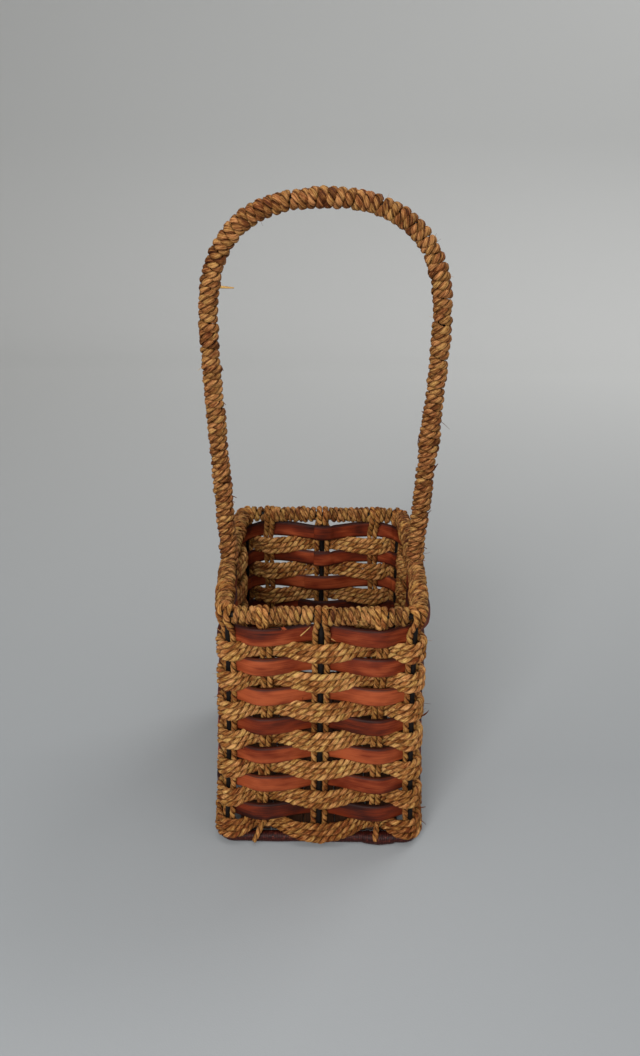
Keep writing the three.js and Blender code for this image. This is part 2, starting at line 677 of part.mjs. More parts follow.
function handleWindings() {
  const turns = HANDLE_TURNS - HANDLE_PART_TURN;
  const first = WOUND_RADIUS - WIRE_RADIUS + TAIL + GAP; // clear of the rim's winding
  const tuck = TAIL + GAP - HANDLE_TURN_GAP / 2; // the part of a joint that isn't a share of a turn
  const joints = HANDLE_LENGTHS - 1;
  const shares = HANDLE_LENGTHS * turns + joints * (0.5 - (1 - HANDLE_PART_TURN));
  const pitch = (hoopLength - 2 * first - joints * tuck) / shares;
  const joint = tuck + pitch * (0.5 - (1 - HANDLE_PART_TURN));
  for (let i = 0; i < HANDLE_LENGTHS; i += 1) {
    const from = first + i * (turns * pitch + joint);
    const width = pitch - HANDLE_TURN_GAP;
    const wound = { from, to: from + turns * pitch, turns, startAngle: HANDLE_START, width };
    addWinding(`handle_winding_${i + 1}`, onHoop, wound, HANDLE_SEAGRASS);
  }
}

handleWindings();

// Floor: wood slats lying on the cross wires inside the base ring

function slatGeometry() {
  const depth = RIM_DEPTH + 2 * spread(BASE_HEIGHT) - 2 * (BASE_RING_RADIUS + GAP);
  return new THREE.BoxGeometry(SLAT_WIDTH, depth, STRIP_THICKNESS);
}

for (let i = 0; i < SLATS; i += 1) {
  const slat = addPiece(`floor_slat_${i + 1}`, slatGeometry(), STAINED_WOOD);
  const height = BASE_HEIGHT + WIRE_RADIUS + GAP + STRIP_THICKNESS / 2;
  slat.position.set((i - (SLATS - 1) / 2) * SLAT_PITCH, 0, height);
}

export default basket;
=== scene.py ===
# A wine basket dressed for rendering: twisted seagrass ropes, wound cords, bowed wood strips and black wire
# around the CAD frame. Lengths are in millimetres until a mesh is made, which is in metres.
import math

import bpy
import numpy as np
from mathutils import Matrix, Vector


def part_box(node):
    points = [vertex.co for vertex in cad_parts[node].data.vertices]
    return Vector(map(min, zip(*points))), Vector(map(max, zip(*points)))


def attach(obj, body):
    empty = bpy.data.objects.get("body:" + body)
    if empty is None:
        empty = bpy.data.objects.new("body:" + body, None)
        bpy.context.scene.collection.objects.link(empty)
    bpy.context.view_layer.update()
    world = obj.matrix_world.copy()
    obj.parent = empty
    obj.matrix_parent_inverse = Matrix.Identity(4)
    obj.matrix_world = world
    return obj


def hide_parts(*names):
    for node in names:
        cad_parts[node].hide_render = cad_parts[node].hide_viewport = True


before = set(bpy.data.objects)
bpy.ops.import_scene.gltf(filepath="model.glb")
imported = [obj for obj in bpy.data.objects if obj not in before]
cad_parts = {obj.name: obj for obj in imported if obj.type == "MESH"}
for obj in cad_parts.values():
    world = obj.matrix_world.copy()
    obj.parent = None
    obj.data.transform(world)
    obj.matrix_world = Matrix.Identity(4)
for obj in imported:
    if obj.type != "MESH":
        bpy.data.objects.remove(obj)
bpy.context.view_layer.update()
MM = 0.001
TAU = 2 * math.pi
rng = np.random.default_rng(11)

# Driving dimensions of the frame, as the CAD model has them
RIM_WIDTH = 110.0
RIM_DEPTH = 138.5
RIM_HEIGHT = 160.0
CORNER_RADIUS = 7.0
SIDE_BOW = 3.0
FOOT_SPREAD = 4.5
WIRE_RADIUS = 1.75
BASE_RING_RADIUS = 3.5
HANDLE_TOP = 375.5
HANDLE_SHOULDER = 310.0
ARCH_FULLNESS = 0.67
HANDLE_HALF_WIDTH = 65.5
HANDLE_WIRE_RADIUS = 1.6
KNEE_OUT = 1.5
KNEE_RISE = 33.0
SHOULDER_DROP = 27.0
FLOOR_WIRES = 3
STATIONS = 16  # round the body: corners 0, 4, 8, 12, middles 2, 6, 10, 14, folded stakes between
FRONT_MIDDLE = 2
BACK_MIDDLE = 10
BACK_LEFT = 12
STAKE_SHARES = np.array([0.19, 0.19, 0.16, 0.19])  # of a side, from its corners to its folded stakes
UP = np.array([0.0, 0, 1])
BACK = np.array([0.0, 1, 0])

# Ropes and cords. Each DRIFT is a random walk: steps between new values, and their spread
ROW_ROPE = 2.14  # radius of the ropes of the rows
ROW_LAY = 9.3  # length of one full twist
ROW_LOOSE = 1.08  # times the CAD's distance between a row's rounds
STAKE_ROPE = 1.8
STAKE_LAY = 9.4
STAKE_STRADDLE = 3.45  # from a post to the rope on each side of it
STAKE_PAIR = 1.8
RIM_CORD_WIDTH = 3.65  # of one turn, along the rim
RIM_CORD = (3.75, 9.0, 1.06)  # thickness, lay, and times its width, as turns press on each other
HANDLE_CORD_WIDTHS = (4.3, 4.95, 4.95, 4.3)  # of each length: closer turns on the legs
HANDLE_CORD_THICKNESS = 4.2
HANDLE_CORD = (HANDLE_CORD_THICKNESS, 7.8, 1.1)
BASE_CORD_PITCH = 1.15

# Strips
STRIP_OUT = 4.4
STRIP_IN = 3.1
STRIP_THICKNESS = 2.3
STRIP_HEIGHT = 11.0

ROUNDS = 3
HALF_CORNER = CORNER_RADIUS * math.pi / 4
BASE_HEIGHT = BASE_RING_RADIUS * math.cos(math.pi / 8)


# The walls

def spread(z):
    return FOOT_SPREAD * (1 - z / RIM_HEIGHT) ** 2


def flat_length(side, z):
    return np.where(side % 2 == 0, RIM_WIDTH, RIM_DEPTH) + 2 * spread(z) - 2 * CORNER_RADIUS


def side_length(side, z):
    return flat_length(side, z) + 2 * HALF_CORNER


def side_bow(along, z):
    """How far the left and right walls bow out there, along from their middle."""
    return SIDE_BOW * (1 - (2 * along / flat_length(np.ones_like(along), z)) ** 2)


def at_station(station, offset, z, lateral=0.0):
    """Points on the wall, offset outwards, and the wall's outward normals there."""
    values = np.broadcast_arrays(station, offset, z, lateral)
    station, offset, z, lateral = (np.array(value, float) for value in values)
    around = np.mod(station, STATIONS)
    side = np.floor(around / 4)
    near = STAKE_SHARES[side.astype(int)]
    place = around - 4 * side
    low, step = np.floor(place), place - np.floor(place)
    marks = grid(0, near, 0.5, 1 - near, 1)
    mark, following = (np.take_along_axis(marks, at.astype(int)[..., None], -1)[..., 0] for at in (low, low + 1))
    run = side_length(side, z) * (mark + (following - mark) * step) + lateral
    before = run < 0
    side = np.where(before, (side + 3) % 4, side)
    run = np.where(before, run + side_length(side, z), run)
    past = run > side_length(side, z)
    run = np.where(past, run - side_length(side, z), run)
    side = np.where(past, (side + 1) % 4, side)
    flat = flat_length(side, z)
    along = np.clip(run - HALF_CORNER, 0, flat) - flat / 2
    turned = (run - HALF_CORNER - along - flat / 2) / HALF_CORNER * math.pi / 4
    bow = np.where(side % 2 == 1, side_bow(along, z), 0)
    half = np.where(side % 2 == 0, RIM_DEPTH, RIM_WIDTH) / 2 + spread(z)
    x = along + CORNER_RADIUS * np.sin(turned)
    y = half - CORNER_RADIUS + CORNER_RADIUS * np.cos(turned) + bow
    direction = side * math.pi / 2
    travel = grid(np.cos(direction), np.sin(direction), 0)
    outward = grid(np.sin(direction), -np.cos(direction), 0)
    normal = travel * np.sin(turned)[..., None] + outward * np.cos(turned)[..., None]
    point = travel * x[..., None] + outward * y[..., None] + normal * offset[..., None]
    point[..., 2] = z
    return point, normal


def near_post(station):
    """How far a station is from a post: 0 there, 1 at a folded stake."""
    return np.abs(station - 2 * np.round(station / 2))


# Numbers and curves

def unit(v):
    return v / np.maximum(np.linalg.norm(v, axis=-1, keepdims=True), 1e-12)


def smooth(share):
    """The share kept from 0 to 1 and eased in and out."""
    share = np.clip(share, 0, 1)
    return share * share * (3 - 2 * share)


def grid(*values):
    """The values broadcast to one shape and joined to vectors."""
    return np.stack(np.broadcast_arrays(*values), -1)


def through(points, steps):
    """A smooth curve through the points, with that many steps between each two."""
    p = np.asarray(points, float)
    p = np.vstack([2 * p[0] - p[1], p, 2 * p[-1] - p[-2]])
    t = np.linspace(0, 1, steps, endpoint=False)[:, None]
    pieces = []
    for a, b, c, d in zip(p[:-3], p[1:-2], p[2:-1], p[3:]):
        curve = 2 * b + (c - a) * t + (2 * a - 5 * b + 4 * c - d) * t**2
        pieces.append(0.5 * (curve + (3 * b - a - 3 * c + d) * t**3))
    return np.vstack(pieces + [p[-2:-1]])


def lengths(points):
    """Distance along a curve at each of its points."""
    return np.concatenate([[0], np.cumsum(np.linalg.norm(np.diff(points, axis=0), axis=1))])


def sampled(values, s, at):
    """The values, which are known at s, at other places."""
    return np.stack([np.interp(at, s, column) for column in values.T], -1)


def evenly(points, spacing, *carried):
    """The curve at an even spacing, with whatever is carried along with its points."""
    s = lengths(points)
    at = np.linspace(0, s[-1], max(int(round(s[-1] / spacing)), 3) + 1)
    return [sampled(values, s, at) for values in (points, *carried)]


def wander(n, step, amplitude):
    """A smooth random walk round zero, with a new value every step samples."""
    knots = rng.normal(0, amplitude, max(int(n / step), 1) + 4)
    curve = through(grid(np.arange(len(knots)), knots), 8)
    return np.interp(np.linspace(1, len(knots) - 2, n), *curve.T)


def lumps(n, m, step, amplitude):
    """Smooth random lumps over n rings of m points, new every step rings."""
    knots = rng.normal(0, amplitude, (max(int(n / step), 1) + 2, m))
    at = np.linspace(0, len(knots) - 1.001, n)  # ends just short of the last knot
    low = at.astype(int)
    return knots[low] + (knots[low + 1] - knots[low]) * smooth(at - low)[:, None]


# Meshes: each strand is a grid of rings, and a piece joins many strands

def linked(name, data):
    """A new object in the scene."""
    made = bpy.data.objects.new(name, data)
    bpy.context.scene.collection.objects.link(made)
    return made


class Strands:
    def __init__(self):
        self.points, self.faces, self.fibre, self.tone, self.painted_shade_and_stain = ([] for _ in range(5))
        self.count = 0

    def add(self, rings, fibre, tone, painted_shade_and_stain, closed=False):
        """n rings of m points, their fibre coordinates for the pattern, and a tone and a mask that fit them; the
        mask places painted shade, and on wood also stain.
        """
        n, m = rings.shape[:2]
        index = self.count + np.arange(n * m).reshape(n, m)
        ahead = np.roll(index, -1, axis=0) if closed else index[1:]
        here = index if closed else index[:-1]
        quads = np.stack([here, np.roll(here, -1, axis=1), np.roll(ahead, -1, axis=1), ahead], -1)
        self.faces.append(quads.reshape(-1, 4))
        self.points.append(rings.reshape(-1, 3))
        self.fibre.append(fibre.reshape(-1, 3))
        self.tone.append(np.broadcast_to(tone, (n, m)).reshape(-1))
        self.painted_shade_and_stain.append(np.broadcast_to(painted_shade_and_stain, (n, m)).reshape(-1))
        self.count += n * m
        if not closed:
            self.cap(rings[0], fibre[0], index[0][::-1], tone, painted_shade_and_stain)
            self.cap(rings[-1], fibre[-1], index[-1], tone, painted_shade_and_stain)

    def cap(self, ring, fibre, index, tone, painted_shade_and_stain):
        self.points.append(ring.mean(0)[None])
        self.fibre.append(fibre.mean(0)[None])
        self.tone.append(np.mean(tone)[None])
        self.painted_shade_and_stain.append(np.mean(painted_shade_and_stain)[None])
        self.faces.append(grid(index, np.roll(index, -1), self.count, self.count))
        self.count += 1

    def piece(self, name, material, slot, *nodes):
        """The strands as one object, standing for these CAD nodes."""
        points = np.vstack(self.points) * MM
        faces = np.vstack(self.faces)
        sizes = np.where(faces[:, 2] == faces[:, 3], 3, 4)
        loops = faces[np.arange(4) < sizes[:, None]]
        mesh = bpy.data.meshes.new(name)
        mesh.vertices.add(len(points))
        mesh.vertices.foreach_set("co", points.astype(np.float32).ravel())
        mesh.loops.add(len(loops))
        mesh.loops.foreach_set("vertex_index", loops.astype(np.int32))
        mesh.polygons.add(len(sizes))
        mesh.polygons.foreach_set("loop_start", (np.cumsum(sizes) - sizes).astype(np.int32))
        mesh.polygons.foreach_set("loop_total", sizes.astype(np.int32))
        mesh.update(calc_edges=True)
        mesh.polygons.foreach_set("use_smooth", np.ones(len(sizes), bool))
        for label, kind, key, values in (
            ("fibre", "FLOAT_VECTOR", "vector", np.vstack(self.fibre)),
            ("tone", "FLOAT", "value", np.concatenate(self.tone)),
            ("painted_shade_and_stain", "FLOAT", "value", np.concatenate(self.painted_shade_and_stain)),
        ):
            mesh.attributes.new(label, kind, "POINT").data.foreach_set(key, values.astype(np.float32).ravel())
        mesh.materials.append(material)
        made = linked(name, mesh)
        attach(made, "root")
        if nodes:
            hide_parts(*nodes)


def frames(points, reference, closed=False):
    """Two unit vectors square to the curve at each point, the first nearest to the reference."""
    ahead = np.roll(points, -1, axis=0) - np.roll(points, 1, axis=0) if closed else np.gradient(points, axis=0)
    tangent = unit(ahead)
    first = unit(reference - tangent * (reference * tangent).sum(-1, keepdims=True))
    return first, np.cross(tangent, first)


def fan(first, second, angle):
    """Unit vectors at these angles from the first one towards the second, at each point."""
    return first[..., None, :] * np.cos(angle)[:, None] + second[..., None, :] * np.sin(angle)[:, None]


def tube(strands, points, reference, radius, sides, tone=0.0, closed=False):
    """A plain round tube; radius may vary along it."""
    angle = TAU * np.arange(sides) / sides
    radius = np.broadcast_to(radius, len(points))[:, None, None]
    rings = points[:, None] + radius * fan(*frames(points, reference, closed), angle)
    fibre = grid(lengths(points)[:, None], np.cos(angle), np.sin(angle))
    strands.add(rings, fibre, tone, 0.0, closed)


PLIES = 2
PLY_ANGLES = np.radians([0, 38, 72, 104, 134, 180, 226, 256, 288, 322])  # round a ply, closer where it bends
PLY_REACH = 0.40  # of the rope's radius, from its middle to a ply's
PLY_OUT = 0.60  # half its thickness outwards
PLY_WIDE = 0.80  # half its width: two plies fill the rope between them
PLY_FLATTER = 0.62  # power that squares it off towards the middle
PLY_LUMPS = (2.5, 0.07)  # rings between new lumps, and their share of its size
PLY_SIZE_STEP, PLY_WIDTH_STEP = 5, 6  # rings between new ones
PLY_TONES, PLY_TONE_DRIFT = 0.06, (5, 0.3)
PLY_SPIN = 0.3  # of the twist, that a ply's own fibres make round it
PLY_PATTERN = 400  # of the fibre pattern's length, where each ply starts anywhere
TWIST_DRIFT = (11, 0.3)


def two_ply(strands, points, reference, radius, lay, flat=1.0, tone=0.0, loose=0.05):
    """A rope of two twisted plies, which flat squeezes along the reference."""
    first, second = frames(points, reference)
    n = len(points)
    along = lengths(points)
    turn = rng.uniform(0, TAU) - TAU * along / lay + wander(n, *TWIST_DRIFT)
    cos, sin = np.cos(PLY_ANGLES), np.sin(PLY_ANGLES)
    thick = np.where(cos > 0, PLY_OUT, PLY_REACH) * cos
    wide = PLY_WIDE * np.sign(sin) * np.abs(sin) ** np.where(cos > 0, 1.0, PLY_FLATTER)
    radius = np.broadcast_to(radius, n)
    for ply in range(PLIES):
        at = (turn + TAU * ply / PLIES)[:, None]
        size = (radius * (1 + wander(n, PLY_SIZE_STEP, loose)))[:, None]
        skin = 1 + lumps(n, len(PLY_ANGLES), *PLY_LUMPS)
        out = size * (PLY_REACH + thick * skin)
        side = size * wide * skin * (1 + wander(n, PLY_WIDTH_STEP, loose))[:, None]
        u = np.cos(at) * out - np.sin(at) * side
        v = np.sin(at) * out + np.cos(at) * side
        rings = points[:, None] + first[:, None] * (u * flat)[..., None] + second[:, None] * v[..., None]
        spin = PLY_ANGLES + PLY_SPIN * at
        fibre = grid(along[:, None] + rng.uniform(0, PLY_PATTERN), np.cos(spin), np.sin(spin))
        shade = tone + rng.normal(0, PLY_TONES) + wander(n, *PLY_TONE_DRIFT)[:, None]
        # the last value marks where the ply turns inwards, for painted shade between the plies
        strands.add(rings, fibre, shade, 0.5 - 0.5 * cos)


# Materials

def linear(colour):
    """The colour that shows on screen as these 0 to 255 values."""
    values = [c / 255 for c in colour]
    return [c / 12.92 if c <= 0.04045 else ((c + 0.055) / 1.055) ** 2.4 for c in values] + [1.0]


class Shader:
    """A material, with short calls for its nodes."""

    def __init__(self, name):
        self.material = bpy.data.materials.new(name)
        self.material.use_nodes = True
        self.tree = self.material.node_tree
        self.surface = self.tree.nodes["Principled BSDF"]

    def put(self, value, socket):
        if isinstance(value, bpy.types.NodeSocket):
            self.tree.links.new(value, socket)
        else:
            socket.default_value = value

    def node(self, kind, inputs, output=0, **settings):
        node = self.tree.nodes.new(kind)
        for name, value in settings.items():
            setattr(node, name, value)
        for key, value in inputs.items():
            self.put(value, node.inputs[key])
        return node.outputs[output]

    def attribute(self, name, output="Fac"):
        return self.node("ShaderNodeAttribute", {}, output, attribute_name=name)

    def place(self):
        return self.node("ShaderNodeNewGeometry", {}, "Position")

    def noise(self, vector, scale, detail=3.0, rough=0.55, distort=0.0):
        inputs = {"Vector": vector, "Scale": scale, "Detail": detail, "Roughness": rough, "Distortion": distort}
        return self.node("ShaderNodeTexNoise", inputs, "Fac")

    def grain(self, fibre, along, across, *looks):
        """Noise with other scales along and across the fibre."""
        factors = (along, across, across)
        return self.noise(self.node("ShaderNodeVectorMath", {0: fibre, 1: factors}, operation="MULTIPLY"), *looks)

    def math(self, operation, *values):
        return self.node("ShaderNodeMath", dict(enumerate(values)), operation=operation)

    def weighted(self, base, *terms):
        """The base plus each term's value times its weight."""
        for value, weight in terms:
            base = self.math("MULTIPLY_ADD", value, weight, base)
        return base

    def ramp(self, value, stops):
        node = self.tree.nodes.new("ShaderNodeValToRGB")
        self.put(value, node.inputs["Fac"])
        elements = node.color_ramp.elements
        while len(elements) < len(stops):
            elements.new(0.5)
        for element, (position, colour) in zip(elements, stops):
            element.position = position
            element.color = colour if isinstance(colour, list) else (colour, colour, colour, 1)
        return node.outputs["Color"]

    def mix(self, factor, a, b, blend="MIX"):
        return self.node("ShaderNodeMix", {0: factor, 6: a, 7: b}, 2, data_type="RGBA", blend_type=blend)

    def bump(self, height, distance, strength):
        inputs = {"Height": height, "Distance": distance, "Strength": strength}
        return self.node("ShaderNodeBump", inputs, "Normal")

    def finish(self, **inputs):
        for name, value in inputs.items():
            self.put(value, self.surface.inputs[name.replace("_", " ")])
        return self.material


def seagrass(name, dark, middle, light, groove_painted_shade, roughness):
    """Twisted grass: streaks of fibre along each ply, with painted shade between the plies."""
    s = Shader(name)
    dark, middle, light, groove_painted_shade = map(linear, (dark, middle, light, groove_painted_shade))
    warm, olive = linear((255, 240, 238)), linear((248, 255, 234))
    fibre, tone, painted_shade_and_stain = s.attribute("fibre", "Vector"), s.attribute("tone"), s.attribute("painted_shade_and_stain")
    streak = s.grain(fibre, 0.2, 1.2, 1.9, 4.0, 0.7)
    fine = s.grain(fibre, 0.45, 5.0, 1.6, 2.0, 0.6)
    patch = s.noise(s.place(), 55.0, 2.0)
    value = s.weighted(-1.32, (tone, 0.42), (streak, 2.3), (fine, 0.9), (patch, 0.45))
    colour = s.ramp(value, [(0.12, dark), (0.45, middle), (0.85, light)])
    tint = s.grain(fibre, 0.1, 0.35, 1.0, 2.0)
    colour = s.mix(1.0, colour, s.ramp(tint, [(0.38, warm), (0.62, olive)]), "MULTIPLY")
    # painted shade between the plies: the groove colour, multiplied in where each ply turns inwards
    depth = s.ramp(painted_shade_and_stain, [(0.3, 0.0), (1.0, 1.0)])
    return s.finish(
        Base_Color=s.mix(s.math("MULTIPLY", depth, 0.72), colour, groove_painted_shade, "MULTIPLY"),
        Roughness=s.weighted(roughness, (fine, 0.25)),
        Normal=s.bump(s.weighted(streak, (fine, 0.5)), 0.0006, 0.9),
        Specular_IOR_Level=0.16,
    )


def stained_wood(name, dark, middle, light, edge_stain_and_shade):
    """Split wood: long grain, stain and painted shade that gather at the edges, satin."""
    s = Shader(name)
    dark, middle, light, edge_stain_and_shade = map(linear, (dark, middle, light, edge_stain_and_shade))
    fibre, tone, painted_shade_and_stain = s.attribute("fibre", "Vector"), s.attribute("tone"), s.attribute("painted_shade_and_stain")
    grain = s.grain(fibre, 0.035, 1.3, 1.4, 5.0, 0.62, 0.25)
    pore = s.grain(fibre, 0.14, 7.0, 1.3, 2.0)
    cloud = s.grain(fibre, 0.05, 0.12, 1.0, 2.0)
    value = s.weighted(-0.53, (tone, 0.55), (grain, 0.75), (cloud, 1.1), (pore, 0.16))
    colour = s.ramp(value, [(0.15, dark), (0.48, middle), (0.85, light)])
    return s.finish(
        # the edges darkened: partly stain, partly painted shade
        Base_Color=s.mix(s.ramp(painted_shade_and_stain, [(0.2, 0.0), (1.0, 0.92)]), colour, edge_stain_and_shade),
        Roughness=s.weighted(0.46, (pore, 0.22)),
        Normal=s.bump(s.weighted(grain, (pore, 0.6)), 0.00022, 0.6),
        Specular_IOR_Level=0.17,
    )


def black_iron():
    s = Shader("black_iron")
    mottle = s.noise(s.place(), 260.0, 4.0, 0.6)
    return s.finish(
        Base_Color=s.ramp(mottle, [(0.35, linear((11, 8, 7))), (0.7, linear((26, 21, 19)))]),
        Roughness=s.weighted(0.36, (mottle, 0.35)),
        Normal=s.bump(s.noise(s.place(), 900.0), 0.0002, 0.5),
        Specular_IOR_Level=0.15,
    )


def maroon_cord():
    s = Shader("maroon_cord")
    fibre, painted_shade_and_stain = s.attribute("fibre", "Vector"), s.attribute("painted_shade_and_stain")
    dark, middle, light, groove_painted_shade = map(linear, ((26, 6, 4), (66, 18, 10), (150, 76, 54), (14, 4, 3)))
    strand = s.grain(fibre, 0.9, 0.8, 1.0)
    colour = s.ramp(strand, [(0.32, dark), (0.6, middle), (0.85, light)])
    return s.finish(
        # painted shade between the turns of the cord
        Base_Color=s.mix(s.math("MULTIPLY", painted_shade_and_stain, 0.85), colour, groove_painted_shade),
        Roughness=s.weighted(0.3, (strand, 0.3)),
        Normal=s.bump(s.grain(fibre, 4.0, 2.0, 1.0, 2.0), 0.0001, 0.5),
        Specular_IOR_Level=0.25,
    )


def plain_stage(name, floor, wall):
    """The floor's colour, which changes to the wall's over 1 m behind the basket; floor and wall are one cloth,
    and the darker floor is painted shade.
    """
    s = Shader(name)
    depth = s.node("ShaderNodeSeparateXYZ", {0: s.place()}, "Y")
    return s.finish(
        Base_Color=s.ramp(depth, [(0.0, linear(floor)), (1.0, linear(wall))]),
        Roughness=0.9,
        Normal=s.bump(s.noise(s.place(), 900.0, 2.0), 0.0002, 0.3),
    )


# Colours: dark, middle, light, and the painted shade between plies, or the stain and painted shade at edges
ROPE = seagrass("seagrass_rope", (92, 40, 7), (151, 97, 46), (212, 166, 106), (120, 50, 16), 0.6)
STAKE = seagrass("seagrass_stake", (80, 34, 6), (140, 86, 38), (198, 148, 88), (110, 44, 14), 0.6)
RIM = seagrass("seagrass_rim", (64, 25, 4), (118, 71, 31), (186, 140, 84), (100, 40, 12), 0.58)
HANDLE = seagrass("seagrass_handle", (66, 26, 4), (126, 76, 34), (196, 146, 92), (100, 40, 12), 0.55)
WOOD = stained_wood("stained_wood", (42, 13, 7), (106, 37, 13), (160, 76, 41), (34, 13, 9))
SLAT = stained_wood("floor_wood", (26, 13, 8), (50, 28, 17), (80, 50, 30), (18, 9, 5))
IRON = black_iron()
MAROON = maroon_cord()


# Wire frame: rim wire, base ring wire, posts and floor wires

WIRE_SIDES = 14
WIRE_STEP = 2.0  # between a ring wire's sections
RING_SAMPLES, POST_SECTIONS, FLOOR_SECTIONS = 2400, 24, 20


def ring_path(height, spacing):
    points, normal = at_station(np.linspace(0, STATIONS, RING_SAMPLES, endpoint=False), 0, height)
    loop, out = evenly(np.vstack([points, points[:1]]), spacing, np.vstack([normal, normal[:1]]))
    return loop[:-1], unit(out[:-1])


def wire_frame():
    strands = Strands()
    for height in (RIM_HEIGHT, BASE_HEIGHT):
        tube(strands, *ring_path(height, WIRE_STEP), WIRE_RADIUS, WIRE_SIDES, closed=True)
    for station in range(0, STATIONS, 2):
        points, out = at_station(station, 0, np.linspace(BASE_HEIGHT, RIM_HEIGHT, POST_SECTIONS))
        tube(strands, points, out, WIRE_RADIUS, WIRE_SIDES)
    for index in range(FLOOR_WIRES):
        y = ((index + 1) / (FLOOR_WIRES + 1) - 0.5) * RIM_DEPTH
        half = RIM_WIDTH / 2 + spread(BASE_HEIGHT) + side_bow(y, BASE_HEIGHT)
        points = grid(np.linspace(-half, half, FLOOR_SECTIONS), y, BASE_HEIGHT)
        tube(strands, points, UP, WIRE_RADIUS, WIRE_SIDES)
    strands.piece("wire_frame", IRON, "black_iron", "frame")


# Strips

STRIP_TONES = (  # of each row's left and right half
    (0.03, -0.03), (0.30, 0.17), (0.56, 0.5), (0.04, -0.02), (0.34, 0.32), (0.44, 0.12), (-0.36, -0.24))
STRIP_SLANTS = (  # how much lighter towards the lower edge
    (0.42, 0.0), (0.05, 0.1), (0.0, 0.0), (0.1, 0.05), (0.12, 0.4), (0.05, -0.4), (0.05, 0.25))
TONE_DRIFT, SLANT_DRIFT, STRIP_DRIFT = (70, 0.1), (80, 0.06), (60, 0.28)
TONE_BLEND = 0.3  # stations on each side of the front middle, where the halves' tones meet
INNER_PAINTED_SHADE, FIRST_ROW_INNER_PAINTED_SHADE = 0.28, 0.05  # painted shade of the basket's inside: tone off the inner faces, and less off the first row's, which the light reaches
STRIP_GRAIN = 700  # from one row's grain to the next one's
STRIP_FACE = 5  # points from the middle of the outer face to its edge
CROWN = 0.3  # of the half thickness, on the outer face
FACE_SPANS = (0.95, 0.93)  # of the half height: the outer and the inner face
EDGE_CORNERS = (0.3, -0.6)  # of the half thickness: the ends of each edge
STRIP_SECTIONS = 780
BOWS = STATIONS // 2
RIGHT_FRONT_BOW = 2  # counted from the front left corner
ROW_ONE_BULGE = 2.3  # by which the first row stands out more there
BOW_SKEW, BOW_REACH, BOW_TILT = 0.05, 0.3, 0.05  # spreads of how bows skew, stand out and tilt
BOW_FULLNESS = 0.9  # power: less is rounder
BOW_THICKER = 0.45  # share by which bows are thicker, on the inner side
POST_HEIGHT_SHARE, BOW_WIDENING = 0.97, 0.06
STRIP_LIFT, BOW_LIFT = 0.25, 0.3  # above the CAD's
LAPS = (0.1, 0.5)  # stations, least and most, that a strip's ends reach past the back middle post
LAP_START, LAP_RAMP = 1.6, 0.6  # in laps: where an end gets thinner, and over what length
SCARF, LAP_GAP = 0.5, 0.1  # share of the thickness that is left there, and the gap between the ends


def strip_section():
    """Offset and height of the section's points, and how near an edge each is, 0 to 1, which darkens it with stain
    and painted shade, most on the top edge and the upper outer face.
    """
    half, thick = STRIP_HEIGHT / 2, STRIP_THICKNESS / 2
    outer_reach, inner_reach = (half * span for span in FACE_SPANS)
    out, back = (thick * corner for corner in EDGE_CORNERS)
    across = np.linspace(-1, 1, STRIP_FACE * 2 + 1)
    crown = thick * (1 - CROWN + CROWN * (1 - across**2))
    outer = [(c, outer_reach * a, a**5 if a > 0 else 0.5 * a**10) for c, a in zip(crown, across)]
    inner = [(-thick, inner_reach * a, abs(a) ** 8) for a in across[::-2]]
    return np.array(outer + [(out, half, 0.8), (back, half, 0.9)] + inner + [(back, -half, 1), (out, -half, 1)])


